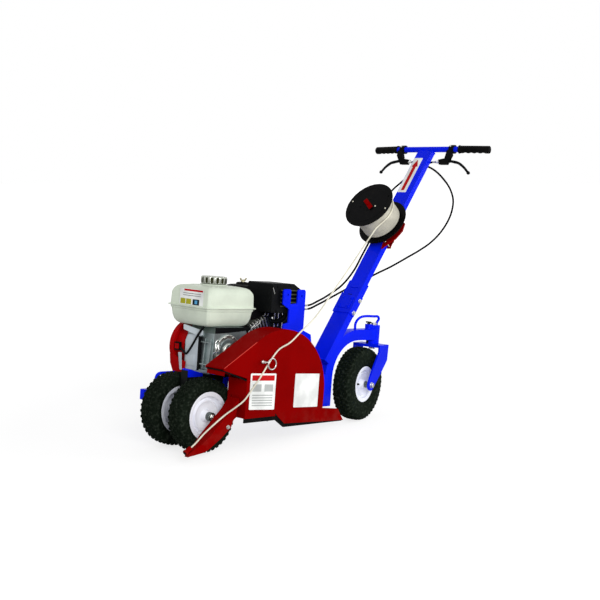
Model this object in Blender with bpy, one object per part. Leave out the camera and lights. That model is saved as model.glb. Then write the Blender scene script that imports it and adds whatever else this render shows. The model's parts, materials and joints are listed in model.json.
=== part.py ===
"""Walk-behind cable plow: a trencher with a wire spool and a trailing boot.

Lengths are in metres and angles in degrees. Most of the machine is built in
the chassis frame: its origin is the middle of the front axle, +X points to
the operator, -Y to the guard side and +Z up, and the whole frame is pitched
so that its rear end sits low. The column has a frame of its own, with +Z
running up the column, and so has the caster, which is steered a little.
"""
import math

import bmesh
import bpy
from mathutils import Matrix, Vector

# Gaps
GAP = 0.0003
RUNNING_GAP = 0.0005

# Chassis and front wheels
PITCH = 6.0
FRONT_TYRE_RADIUS = 0.1425
FRONT_TYRE_WIDTH = 0.085
FRONT_RIM_RADIUS = 0.0925
FRONT_TRACK = 0.161
FRONT_LUGS = 12
LUG_HEIGHT = 0.006
AXLE_RADIUS = 0.008
AXLE_HEAD_RADIUS = 0.013
AXLE_HEAD_LENGTH = 0.010
HUB_OVERHANG = 0.0005

# Caster and rear wheel
REAR_TYRE_RADIUS = 0.155
REAR_TYRE_WIDTH = 0.080
REAR_RIM_RADIUS = 0.0765
CASTER_X = 0.888
CASTER_TRAIL = 0.102
CASTER_STEER = 10.0
CROWN_CLEARANCE = 0.0112
CROWN_THICKNESS = 0.012
FORK_INSIDE = 0.116
FORK_PLATE = 0.008
KINGPIN_RADIUS = 0.010
HOUSING_RADIUS = 0.028
HOUSING_LENGTH = 0.080

# Frame
LINE_Y = -0.165
DECK_FRONT = 0.055
DECK_BOTTOM = 0.136
DECK_TOP = 0.144
DECK_FAR = 0.165
DECK_NEAR = -0.100
DECK_NOTCH_Y = -0.060
DECK_NOTCH_X = 0.340
BEAM_DEPTH = 0.028
BEAM_BOTTOM = 0.090
RAIL_WIDTH = 0.025
RAIL_HEIGHT = 0.040
RAIL_BOTTOM = 0.030
RAIL_FRONT = -0.110
RAIL_REAR = 0.330
RAIL_Y = 0.1445
LOOP_RADIUS = 0.007
LOOP_TOP = 0.128
LOOP_FRONT = -0.045
STRUT_WIDTH = 0.036
HANGER_Y = -0.024
HANGER_THICKNESS = 0.012

# Rear arm
ARM_WIDTH = 0.050
ARM_CENTRE_X = 0.760
ARM_CLEARANCE = 0.018
ARM_INSIDE = 0.150
ARM_HEIGHT = 0.045
ARM_FOOT = 0.011
CARRY_RADIUS = 0.0055
CARRY_RISE = 0.054
CARRY_FOOT_X = 0.764
CARRY_BEND = 0.014
LOCK_PIN_X = 0.853
LOCK_PIN_RADIUS = 0.004
LOCK_HANDLE_RISE = 0.008
LUG_RISE = 0.021

# Column and handlebar
COLUMN_RAKE = 34.1
COLUMN_X = 0.607
COLUMN_Z = 0.280
COLUMN_WIDTH = 0.076
COLUMN_DEPTH = 0.026
COLUMN_WALL = 0.003
COLUMN_LENGTH = 1.0255
SLEEVE_WIDTH = 0.084
SLEEVE_DEPTH = 0.033
SLEEVE_LOW = -0.100
SLEEVE_HIGH = 0.290
CLAMP_LOW = 0.130
CLAMP_HIGH = 0.225
CLAMP_WALL = 0.004
CLAMP_BOLT_RADIUS = 0.005
BAR_RADIUS = 0.0127
BAR_STRAIGHT = 0.150
BAR_HALF = 0.307
BAR_SWEEP = 9.0
GRIP_RADIUS = 0.0165
GRIP_LENGTH = 0.142
LEVER_CLAMP_Y = 0.135
LEVER_CLAMP_WIDTH = 0.022
LEVER_CLAMP_RADIUS = 0.0195
LEVER_PIVOT_Y = 0.110
LEVER_FORWARD = 0.0225
LEVER_DROP = 0.058
LEVER_THICKNESS = 0.008
LEVER_PIN_RADIUS = 0.003
BARREL_RADIUS = 0.005
CABLE_RADIUS = 0.003

# Spool
SPOOL_S = 0.580
SPOOL_OFF = 0.105
SPOOL_FLANGE_RADIUS = 0.113
SPOOL_FLANGE = 0.005
SPOOL_INSIDE = 0.115
SPOOL_CORE_RADIUS = 0.080
SPOOL_AXLE_RADIUS = 0.008
SPOOL_BRACKET_THICKNESS = 0.007
WIRE_RADIUS = 0.0031
WIRE_LOOPS = 8
LOOP_POINTS = 24

# Guard, blade and drive
GUARD_NEAR = -0.235
GUARD_FAR = -0.135
GUARD_WALL = 0.003
GUARD_SKID_WALL = 0.006
DOME_X = 0.262
DOME_Z = 0.085
DOME_RADIUS = 0.252
SKID_TOP = 0.016
SKID_TAIL = 0.134
SKID_TAIL_TOP = 0.007
SKID_TAIL_LOW = -0.043
HOOD_TIP_X = -0.048
HOOD_TIP_Z = 0.197
GUARD_FRONT = 0.075
GUARD_FRONT_TOP = 0.155
GUARD_FRONT_LOW = 0.003
ROTOR_X = 0.275
ROTOR_Z = 0.090
BLADE_RADIUS = 0.120
BLADE_THICKNESS = 0.008
BLADE_TEETH = 8
SHAFT_RADIUS = 0.0125
BELT_Y = -0.095
BELT_WIDTH = 0.012
BELT_THICKNESS = 0.008
DRIVE_PULLEY_RADIUS = 0.040
DRIVEN_PULLEY_RADIUS = 0.055
PULLEY_LIP = 0.008
PULLEY_WIDTH = 0.020

# Engine
CRANK_X = 0.145
CRANK_Z = 0.2345
CRANK_RADIUS = 0.0125
CASE_NEAR = -0.040
CASE_FAR = 0.112
CYLINDER_TILT = 25.0
CYLINDER_X = 0.262
CYLINDER_Z = 0.270
CYLINDER_LENGTH = 0.135
HEAD_LENGTH = 0.040
TANK_FRONT = 0.031
TANK_REAR = 0.271
TANK_NEAR = -0.042
TANK_FAR = 0.182
TANK_BOTTOM = 0.325
TANK_TOP = 0.483
TANK_SEAM = 0.405
TANK_WALL = 0.0025
TANK_FLANGE = 0.008
TANK_CORNER = 0.045
CAP_X = 0.155
CAP_Y = 0.070
CAP_RADIUS = 0.050
CAP_HEIGHT = 0.031
NECK_RADIUS = 0.035
NECK_BORE = 0.030
RECOIL_RADIUS = 0.088
RECOIL_DEPTH = 0.074
RECOIL_WALL = 0.003
ROPE_RADIUS = 0.002
ROPE_LENGTH = 0.155
MUFFLER_FRONT = 0.315
MUFFLER_REAR = 0.500
MUFFLER_NEAR = -0.100
MUFFLER_FAR = 0.040
MUFFLER_BOTTOM = 0.388
MUFFLER_TOP = 0.505
MUFFLER_WALL = 0.003

# Boot
BOOT_NEAR = -0.212
BOOT_FAR = -0.158
BOOT_WALL = 0.004
BOOT_PIVOT_X = 0.014
BOOT_PIVOT_Z = -0.026
BOOT_BOLT_RADIUS = 0.005


def clear_radius(radius, steps):
    """Radius of a polygon's corners whose flats stay outside a round of this radius."""
    return radius / math.cos(math.pi / steps)


def polar(radius, degrees):
    """A point at a radius and an angle, as two coordinates."""
    angle = math.radians(degrees)
    return radius * math.cos(angle), radius * math.sin(angle)


def arc(centre, radius, start, end, steps):
    """Points along an arc of a circle, both ends included."""
    points = []
    for step in range(steps + 1):
        across, up = polar(radius, start + (end - start) * step / steps)
        points.append((centre[0] + across, centre[1] + up))
    return points


def finish(name, colour, roughness, metallic):
    """A plain painted, plastic or metal surface."""
    material = bpy.data.materials.new(name)
    material.use_nodes = True
    shader = material.node_tree.nodes["Principled BSDF"]
    shader.inputs["Base Color"].default_value = (*colour, 1.0)
    shader.inputs["Roughness"].default_value = roughness
    shader.inputs["Metallic"].default_value = metallic
    return material


def to_mesh(bm, name):
    """Turn a bmesh into a mesh whose faces point outwards."""
    bmesh.ops.recalc_face_normals(bm, faces=bm.faces)
    mesh = bpy.data.meshes.new(name)
    bm.to_mesh(mesh)
    bm.free()
    return mesh


def oriented(axis, along, across, up):
    """A point given along a named axis and in the plane square to it."""
    if axis == "X":
        return along, across, up
    if axis == "Y":
        return across, along, up
    return across, up, along


def prism(outline, low, high, axis="Y"):
    """A flat outline carried from low to high along an axis."""
    bm = bmesh.new()
    rings = []
    for along in (low, high):
        ring = [bm.verts.new(oriented(axis, along, a, b)) for a, b in outline]
        rings.append(ring)
    count = len(outline)
    for index in range(count):
        following = (index + 1) % count
        quad = (rings[0][index], rings[0][following], rings[1][following], rings[1][index])
        bm.faces.new(quad)
    bm.faces.new(rings[0])
    bm.faces.new(rings[1])
    return to_mesh(bm, "prism")


def block(x, y, z):
    """A box given by its limits along each axis."""
    outline = [(x[0], z[0]), (x[1], z[0]), (x[1], z[1]), (x[0], z[1])]
    return prism(outline, y[0], y[1])


def turned(profile, steps, axis="Y", centre=(0.0, 0.0, 0.0), hollow=False, phase=0.0):
    """A profile of (along, radius) turned about an axis through centre.

    A hollow profile is a closed loop round a bore. Any other is capped flat.
    """
    bm = bmesh.new()
    rings = []
    for step in range(steps):
        turn = phase + 360.0 * step / steps
        ring = []
        for along, radius in profile:
            across, up = polar(radius, turn)
            ring.append(bm.verts.new(Vector(centre) + Vector(oriented(axis, along, across, up))))
        rings.append(ring)
    count = len(profile)
    last = count if hollow else count - 1
    for step in range(steps):
        ring = rings[step]
        beside = rings[(step + 1) % steps]
        for index in range(last):
            following = (index + 1) % count
            bm.faces.new((ring[index], ring[following], beside[following], beside[index]))
    if not hollow:
        bm.faces.new([ring[0] for ring in rings])
        bm.faces.new([ring[-1] for ring in rings])
    return to_mesh(bm, "turned")


def rod(start, end, radius, steps=16):
    """A round bar between two points."""
    start = Vector(start)
    reach = Vector(end) - start
    mesh = turned([(0.0, radius), (reach.length, radius)], steps, "Z")
    mesh.transform(Matrix.Translation(start) @ reach.to_track_quat("Z", "Y").to_matrix().to_4x4())
    return mesh


def ring_prism(outer, inner, low, high):
    """A closed band between two outlines of as many points, along Y."""
    bm = bmesh.new()
    loops = []
    for outline in (outer, inner):
        for along in (low, high):
            loops.append([bm.verts.new((a, along, b)) for a, b in outline])
    outer_low, outer_high, inner_low, inner_high = loops
    count = len(outer)
    for first, second in (
        (outer_low, outer_high),
        (outer_high, inner_high),
        (inner_high, inner_low),
        (inner_low, outer_low),
    ):
        for index in range(count):
            following = (index + 1) % count
            bm.faces.new((first[index], first[following], second[following], second[index]))
    return to_mesh(bm, "band")


def rounded_rectangle(x, y, inset, corner, steps):
    """Corner arcs of a rectangle in XY, drawn in by inset."""
    radius = max(corner - inset, 0.004)
    points = []
    corners = (
        (x[1] - inset - radius, y[1] - inset - radius, 0.0),
        (x[0] + inset + radius, y[1] - inset - radius, 90.0),
        (x[0] + inset + radius, y[0] + inset + radius, 180.0),
        (x[1] - inset - radius, y[0] + inset + radius, 270.0),
    )
    for centre_x, centre_y, start in corners:
        points.extend(arc((centre_x, centre_y), radius, start, start + 90.0, steps))
    return points


def lofted(sections, x, y, corner, steps=2):
    """A body through rounded rectangles, one for each (height, inset)."""
    bm = bmesh.new()
    rings = []
    for height, inset in sections:
        outline = rounded_rectangle(x, y, inset, corner, steps)
        rings.append([bm.verts.new((a, b, height)) for a, b in outline])
    count = len(rings[0])
    for lower, upper in zip(rings, rings[1:]):
        for index in range(count):
            following = (index + 1) % count
            bm.faces.new((lower[index], lower[following], upper[following], upper[index]))
    bm.faces.new(rings[0])
    bm.faces.new(rings[-1])
    return to_mesh(bm, "lofted")


def smooth_route(points, spacing):
    """Points read from a smooth curve through a route, its end legs straight."""
    route = [Vector(point) for point in points]
    samples = [route[0]]
    last = len(route) - 2
    for index in range(1, last):
        start, end = route[index], route[index + 1]
        reach = (end - start).length
        before = (start - route[index - 1]).normalized()
        after = (route[index + 2] - end).normalized()
        along = (end - start).normalized()
        leave = before if index == 1 else (before + along).normalized()
        arrive = after if index == last - 1 else (after + along).normalized()
        steps = max(1, round(reach / spacing))
        for step in range(steps):
            t = step / steps
            samples.append(
                start * (2 * t ** 3 - 3 * t ** 2 + 1)
                + leave * reach * (t ** 3 - 2 * t ** 2 + t)
                + end * (3 * t ** 2 - 2 * t ** 3)
                + arrive * reach * (t ** 3 - t ** 2)
            )
    return samples + route[-2:]


def tube_curve(points, radius, resolution):
    """A filled tube along points, as curve data."""
    curve = bpy.data.curves.new("tube", "CURVE")
    curve.dimensions = "3D"
    curve.bevel_depth = radius
    curve.bevel_resolution = resolution
    curve.use_fill_caps = True
    spline = curve.splines.new("POLY")
    spline.points.add(len(points) - 1)
    for knot, point in zip(spline.points, points):
        knot.co = (*point, 1.0)
    return curve


def tube_mesh(points, radius, resolution=2):
    """A filled tube along points, as a mesh that can be cut or joined."""
    guide = bpy.data.objects.new("guide", tube_curve(points, radius, resolution))
    bpy.context.collection.objects.link(guide)
    mesh = bpy.data.meshes.new_from_object(guide.evaluated_get(bpy.context.evaluated_depsgraph_get()))
    bpy.data.objects.remove(guide)
    bm = bmesh.new()
    bm.from_mesh(mesh)
    bmesh.ops.remove_doubles(bm, verts=bm.verts, dist=1e-6)
    return to_mesh(bm, "tube")


def carved(body, add=(), cut=()):
    """One mesh: the body joined with what is added, less what is cut."""
    base = bpy.data.objects.new("base", body)
    bpy.context.collection.objects.link(base)
    tools = []
    for operation, meshes in (("UNION", add), ("DIFFERENCE", cut)):
        for mesh in meshes:
            tool = bpy.data.objects.new("tool", mesh)
            bpy.context.collection.objects.link(tool)
            tools.append(tool)
            modifier = base.modifiers.new(operation, "BOOLEAN")
            modifier.operation = operation
            modifier.solver = "EXACT"
            modifier.object = tool
    result = bpy.data.meshes.new_from_object(base.evaluated_get(bpy.context.evaluated_depsgraph_get()))
    for scrap in (base, *tools):
        bpy.data.objects.remove(scrap)
    return result


def place(name, data, material, parent, location=(0.0, 0.0, 0.0), rotation=(0.0, 0.0, 0.0)):
    """Put one finished piece in the scene under its parent."""
    piece = bpy.data.objects.new(name, data)
    bpy.context.collection.objects.link(piece)
    piece.parent = parent
    piece.location = location
    piece.rotation_euler = [math.radians(angle) for angle in rotation]
    data.materials.clear()
    data.materials.append(material)
    if isinstance(data, bpy.types.Mesh):
        data.shade_smooth()
        data.set_sharp_from_angle(angle=math.radians(35.0))
    return piece


def empty(name, parent, location, rotation=(0.0, 0.0, 0.0)):
    """A frame that pieces are placed in."""
    frame = bpy.data.objects.new(name, None)
    bpy.context.collection.objects.link(frame)
    frame.parent = parent
    frame.location = location
    frame.rotation_euler = [math.radians(angle) for angle in rotation]
    return frame


def make_finishes():
    """Every surface of the machine."""
    return {
        "blue_paint": finish("blue_paint", (0.006, 0.016, 0.62), 0.35, 0.0),
        "red_paint": finish("red_paint", (0.30, 0.004, 0.004), 0.38, 0.0),
        "red_shroud": finish("red_shroud", (0.33, 0.006, 0.006), 0.40, 0.0),
        "cream_paint": finish("cream_paint", (0.72, 0.74, 0.66), 0.30, 0.0),
        "white_rim": finish("white_rim", (0.82, 0.83, 0.86), 0.40, 0.0),
        "tyre_rubber": finish("tyre_rubber", (0.010, 0.012, 0.010), 0.80, 0.0),
        "black_plastic": finish("black_plastic", (0.010, 0.010, 0.011), 0.45, 0.0),
        "grip_rubber": finish("grip_rubber", (0.012, 0.012, 0.012), 0.65, 0.0),
        "cast_aluminium": finish("cast_aluminium", (0.42, 0.45, 0.46), 0.50, 1.0),
        "bright_steel": finish("bright_steel", (0.60, 0.60, 0.58), 0.30, 1.0),
        "blade_steel": finish("blade_steel", (0.28, 0.28, 0.28), 0.45, 1.0),
        "chrome": finish("chrome", (0.80, 0.80, 0.78), 0.12, 1.0),
        "cream_wire": finish("cream_wire", (0.70, 0.68, 0.58), 0.50, 0.0),
        "cable_sheath": finish("cable_sheath", (0.008, 0.008, 0.008), 0.50, 0.0),
        "belt_rubber": finish("belt_rubber", (0.015, 0.015, 0.015), 0.75, 0.0),
    }


def tyre_profile(radius, width, rim_radius, steps):
    """Half sections of a tyre: bead, bulged wall, shoulder, three tread bands."""
    half = width / 2.0
    seat = clear_radius(rim_radius - 0.0125 + GAP, steps)
    bead = half - 0.010
    wall = [(-bead, seat), (-bead, rim_radius + 0.001), (-half, rim_radius + 0.3 * (radius - rim_radius))]
    tread = [(-half + 0.004, 2), (-0.30 * width, 0), (-0.14 * width, 1), (0.14 * width, 1)]
    tread += [(0.30 * width, 0), (half - 0.004, 2)]
    return wall, tread


def knobby_tyre(radius, width, rim_radius, lugs, lug_height):
    """A tyre whose lugs alternate between the middle and side bands."""
    wall, tread = tyre_profile(radius, width, rim_radius, 2 * lugs)
    pitch = 360.0 / lugs
    quarter = pitch / 4.0
    crown = radius / math.cos(math.radians(quarter))
    columns = []
    for lug in range(lugs):
        middle = -90.0 + lug * pitch
        columns.append((middle - quarter + 0.5, True))
        columns.append((middle + quarter - 0.5, True))
        columns.append((middle + quarter + 0.5, False))
        columns.append((middle + 3.0 * quarter - 0.5, False))
    bm = bmesh.new()
    rings = []
    for angle, middle_high in columns:
        ring = list(wall)
        for along, band in tread:
            high = middle_high if band == 1 else not middle_high
            height = crown if high else crown - lug_height
            if band == 2:
                height -= 0.006
            ring.append((along, height))
        ring += [(-along, height) for along, height in reversed(wall)]
        verts = []
        for along, height in ring:
            across, up = polar(height, angle)
            verts.append(bm.verts.new((across, along, up)))
        rings.append(verts)
    for index, ring in enumerate(rings):
        beside = rings[(index + 1) % len(rings)]
        for step in range(len(ring)):
            following = (step + 1) % len(ring)
            bm.faces.new((ring[step], ring[following], beside[following], beside[step]))
    return to_mesh(bm, "knobby_tyre")


def ribbed_tyre(radius, width, rim_radius, steps):
    """A tyre with three low ribs round its tread."""
    wall, _ = tyre_profile(radius, width, rim_radius, steps)
    crown = radius / math.cos(math.pi / steps)
    half = width / 2.0
    tread = [(-half + 0.004, crown - 0.010)]
    for share in (-0.34, -0.10, 0.14):
        tread.append((share * width, crown))
        tread.append(((share + 0.20) * width, crown))
        tread.append(((share + 0.22) * width, crown - 0.003))
    tread[-1] = (half - 0.004, crown - 0.010)
    mirrored = [(-along, height) for along, height in reversed(wall)]
    return turned(wall + tread + mirrored, steps, hollow=True, phase=-90.0 + 180.0 / steps)


def dished_rim(rim_radius, width, steps=18):
    """A pressed rim: hub, stepped dish, barrel and two lips, turned about Y."""
    half = width / 2.0
    bead = half - 0.010 + GAP
    seat = rim_radius - 0.0125
    lip = bead + 0.0035
    bore = AXLE_RADIUS + GAP
    hub = half - 0.004
    front = [
        (-hub, bore),
        (-hub, 0.018),
        (-0.50 * hub, 0.38 * rim_radius),
        (-0.68 * hub, 0.60 * rim_radius),
        (-0.45 * hub, 0.70 * rim_radius),
        (-lip + 0.002, seat - 0.004),
        (-lip, rim_radius),
    ]
    barrel = [(-bead, rim_radius), (-bead, seat), (bead, seat), (bead, rim_radius), (lip, rim_radius)]
    back = [
        (lip - 0.003, seat - 0.004),
        (-0.20 * hub, 0.72 * rim_radius),
        (-0.50 * hub, 0.58 * rim_radius),
        (-0.30 * hub, 0.024),
        (hub, 0.018),
        (hub, bore),
    ]
    return turned(front + barrel + back, steps, hollow=True)


def axle_rod(half, head_radius=AXLE_HEAD_RADIUS):
    """A headed round axle along Y."""
    end = half + AXLE_HEAD_LENGTH
    profile = [(-end, head_radius), (-half, head_radius), (-half, AXLE_RADIUS)]
    profile += [(half, AXLE_RADIUS), (half, head_radius), (end, head_radius)]
    return turned(profile, 12)


def build_front_wheels(chassis, finishes):
    """Two knobby wheels side by side on one fixed axle."""
    hub_half = FRONT_TYRE_WIDTH / 2.0 - 0.004
    axle_half = FRONT_TRACK / 2.0 + hub_half + HUB_OVERHANG
    place("front_axle", axle_rod(axle_half), finishes["bright_steel"], chassis)
    for side, sign in (("near", -1.0), ("far", 1.0)):
        spot = (0.0, sign * FRONT_TRACK / 2.0, 0.0)
        tyre = knobby_tyre(FRONT_TYRE_RADIUS, FRONT_TYRE_WIDTH, FRONT_RIM_RADIUS, FRONT_LUGS, LUG_HEIGHT)
        place("front_tyre_" + side, tyre, finishes["tyre_rubber"], chassis, spot, (0.0, -PITCH, 0.0))
        rim = dished_rim(FRONT_RIM_RADIUS, FRONT_TYRE_WIDTH)
        place("front_rim_" + side, rim, finishes["white_rim"], chassis, spot, (0.0, -PITCH, 0.0))


def front_strut():
    """The plate between the wheels that carries the axle, with a round nose."""
    half = STRUT_WIDTH / 2.0
    outline = arc((0.0, 0.0), 0.030, 180.0, 360.0, 8)
    outline += [(0.070, 0.090), (0.120, DECK_BOTTOM), (0.120, DECK_TOP - GAP)]
    outline += [(0.060, DECK_TOP - GAP), (-0.006, 0.161)]
    outline += arc((-0.018, 0.153), 0.012, 60.0, 180.0, 4)
    return prism(outline, -half, half)


def side_loop():
    """The bent bar that rises from the far rail beyond the far wheel."""
    bend = 0.020
    route = [(LOOP_FRONT, RAIL_Y, RAIL_BOTTOM + RAIL_HEIGHT - 0.004)]
    for across, up in arc((LOOP_FRONT + bend, LOOP_TOP - bend), bend, 180.0, 90.0, 5):
        route.append((across, RAIL_Y, up))
    route.append((0.124, RAIL_Y, LOOP_TOP))
    return tube_mesh(route, LOOP_RADIUS)


def build_main_frame(chassis, finishes):
    """Deck, axle strut, far rail and loop, rear beam and hanger, welded as one."""
    rear = ARM_CENTRE_X - ARM_INSIDE - ARM_HEIGHT - GAP
    deck_outline = [
        (DECK_FRONT, DECK_NOTCH_Y),
        (DECK_NOTCH_X, DECK_NOTCH_Y),
        (DECK_NOTCH_X, DECK_NEAR),
        (rear, DECK_NEAR),
        (rear, DECK_FAR),
        (DECK_FRONT, DECK_FAR),
    ]
    deck = prism(deck_outline, DECK_BOTTOM, DECK_TOP, "Z")
    rail_y = (RAIL_Y - RAIL_WIDTH / 2.0, RAIL_Y + RAIL_WIDTH / 2.0)
    rail_top = RAIL_BOTTOM + RAIL_HEIGHT
    hanger_y = (HANGER_Y - HANGER_THICKNESS / 2.0, HANGER_Y + HANGER_THICKNESS / 2.0)
    tab_y = (GUARD_FAR + GAP, DECK_NEAR + 0.005)
    tab_z = (DECK_BOTTOM - 0.026, DECK_TOP - 0.001)
    beam_y = (LINE_Y - ARM_WIDTH / 2.0, DECK_FAR)
    pieces = [
        front_strut(),
        side_loop(),
        block((RAIL_FRONT, RAIL_REAR), rail_y, (RAIL_BOTTOM, rail_top)),
        block((0.120, RAIL_REAR - 0.010), (RAIL_Y - 0.005, RAIL_Y + 0.005), (rail_top - 0.005, DECK_TOP - 0.002)),
        block((rear - BEAM_DEPTH, rear), beam_y, (BEAM_BOTTOM, DECK_TOP + 0.001)),
        block((0.160, rear - 0.010), (0.070, 0.110), (DECK_BOTTOM - 0.030, DECK_BOTTOM + 0.002)),
        block((ROTOR_X - 0.032, ROTOR_X + 0.032), hanger_y, (ROTOR_Z - 0.040, DECK_BOTTOM + 0.002)),
        block((0.362, 0.402), tab_y, tab_z),
        block((0.450, 0.490), tab_y, tab_z),
    ]
    axle_hole = rod((0.0, -0.1, 0.0), (0.0, 0.1, 0.0), AXLE_RADIUS + GAP)
    shaft_hole = rod((ROTOR_X, -0.06, ROTOR_Z), (ROTOR_X, 0.06, ROTOR_Z), SHAFT_RADIUS + RUNNING_GAP)
    frame = carved(deck, pieces, [axle_hole, shaft_hole])
    place("main_frame", frame, finishes["blue_paint"], chassis)


def rear_axle_height():
    """Height of the rear axle in the chassis frame that sets the tyre on the ground."""
    pitch = math.radians(PITCH)
    steer = math.radians(CASTER_STEER)
    lean = math.asin(math.sin(steer) * math.sin(pitch))
    reach = REAR_TYRE_RADIUS * math.cos(lean) + 0.34 * REAR_TYRE_WIDTH * math.sin(lean)
    wheel_x = CASTER_X - CASTER_TRAIL * math.cos(steer)
    return (reach - FRONT_TYRE_RADIUS + wheel_x * math.sin(pitch)) / math.cos(pitch)


def crown_top():
    """Top of the fork's crown, clear of the rear tyre."""
    return rear_axle_height() + REAR_TYRE_RADIUS + CROWN_CLEARANCE


def housing_top():
    """Top of the caster's housing."""
    return crown_top() + HOUSING_LENGTH


def arm_centre():
    """Centre of the arch, in side view, that leaves the crown its clearance."""
    return ARM_CENTRE_X, crown_top() + ARM_CLEARANCE - ARM_INSIDE


def arm_top():
    """Top of the arch."""
    return crown_top() + ARM_CLEARANCE + ARM_HEIGHT


def lug_top():
    """Top of the lock pin's lug."""
    return arm_top() + LUG_RISE


def arm_outline():
    """The arch over the rear wheel, from its foot to the caster housing."""
    outside = ARM_INSIDE + ARM_HEIGHT
    centre = arm_centre()
    middle_z = centre[1]
    outline = [(ARM_CENTRE_X - ARM_INSIDE, ARM_FOOT)]
    outline += arc(centre, ARM_INSIDE, 180.0, 90.0, 10)
    outline += [(CASTER_X, middle_z + ARM_INSIDE), (CASTER_X, middle_z + outside)]
    outline += arc(centre, outside, 90.0, 180.0, 10)
    outline += [(ARM_CENTRE_X - outside, ARM_FOOT)]
    return outline


def column_frame_matrix():
    """From the column's frame to the chassis frame."""
    shift = Matrix.Translation((COLUMN_X, LINE_Y, COLUMN_Z))
    return shift @ Matrix.Rotation(math.radians(COLUMN_RAKE), 4, "Y")


def build_rear_arm(chassis, finishes):
    """Arched arm, caster housing and column socket, welded as one."""
    half = ARM_WIDTH / 2.0
    arm = prism(arm_outline(), LINE_Y - half, LINE_Y + half)
    housing_profile = [(crown_top() + RUNNING_GAP, HOUSING_RADIUS), (housing_top(), HOUSING_RADIUS)]
    housing = turned(housing_profile, 20, "Z", (CASTER_X, LINE_Y, 0.0))
    lug = block((LOCK_PIN_X - 0.011, LOCK_PIN_X + 0.011), (LINE_Y - 0.010, LINE_Y + 0.010),
                (arm_top() - 0.005, lug_top()))
    sleeve_x = (-SLEEVE_DEPTH / 2.0, SLEEVE_DEPTH / 2.0)
    sleeve_y = (-SLEEVE_WIDTH / 2.0, SLEEVE_WIDTH / 2.0)
    sleeve = block(sleeve_x, sleeve_y, (SLEEVE_LOW, SLEEVE_HIGH))
    room_x = (-COLUMN_DEPTH / 2.0 - GAP, COLUMN_DEPTH / 2.0 + GAP)
    room_y = (-COLUMN_WIDTH / 2.0 - GAP, COLUMN_WIDTH / 2.0 + GAP)
    room = block(room_x, room_y, (0.0, SLEEVE_HIGH + 0.01))
    slot = block((-SLEEVE_DEPTH, -COLUMN_DEPTH / 2.0 + 0.002), (-0.026, 0.026), (0.252, 0.258))
    bolt_holes = [clamp_bolt_hole(height) for height in clamp_bolt_heights()]
    for mesh in (sleeve, room, slot, *bolt_holes):
        mesh.transform(column_frame_matrix())
    low = crown_top() - 0.05
    high = lug_top() + 0.05
    bore = rod((CASTER_X, LINE_Y, low), (CASTER_X, LINE_Y, high), KINGPIN_RADIUS + GAP)
    pin_hole = rod((LOCK_PIN_X, LINE_Y, low), (LOCK_PIN_X, LINE_Y, high), LOCK_PIN_RADIUS + GAP, 12)
    mesh = carved(arm, [housing, lug, sleeve], [room, slot, bore, pin_hole, *bolt_holes])
    place("rear_arm", mesh, finishes["blue_paint"], chassis)


def build_carry_handle(chassis, finishes):
    """The loop over the arm by which the rear end is lifted."""
    head_x = CASTER_X + 0.020
    bend_z = arm_top() + CARRY_RISE - CARRY_BEND
    route = [(CARRY_FOOT_X, LINE_Y, arm_top() + GAP), (CARRY_FOOT_X, LINE_Y, arm_top() + 0.008)]
    for across, up in arc((CARRY_FOOT_X + 0.050, bend_z), CARRY_BEND, 150.0, 90.0, 4):
        route.append((across, LINE_Y, up))
    for across, up in arc((head_x, bend_z), CARRY_BEND, 90.0, 20.0, 4):
        route.append((across, LINE_Y, up))
    route.append((head_x, LINE_Y, housing_top() + 0.012))
    route.append((head_x, LINE_Y, housing_top() + GAP))
    place("carry_handle", tube_mesh(route, CARRY_RADIUS), finishes["blue_paint"], chassis)


def fork_leg(axle_z):
    """Side view of one bent flat leg, with a round end at the axle."""
    top = crown_top()
    outline = [(0.028, top), (0.024, top - 0.067), (-0.030, top - 0.127)]
    outline += arc((-CASTER_TRAIL, axle_z), 0.024, -30.0, -190.0, 8)
    outline += [(-0.112, top - 0.127), (-0.050, top - 0.030), (-0.050, top)]
    return outline


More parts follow.
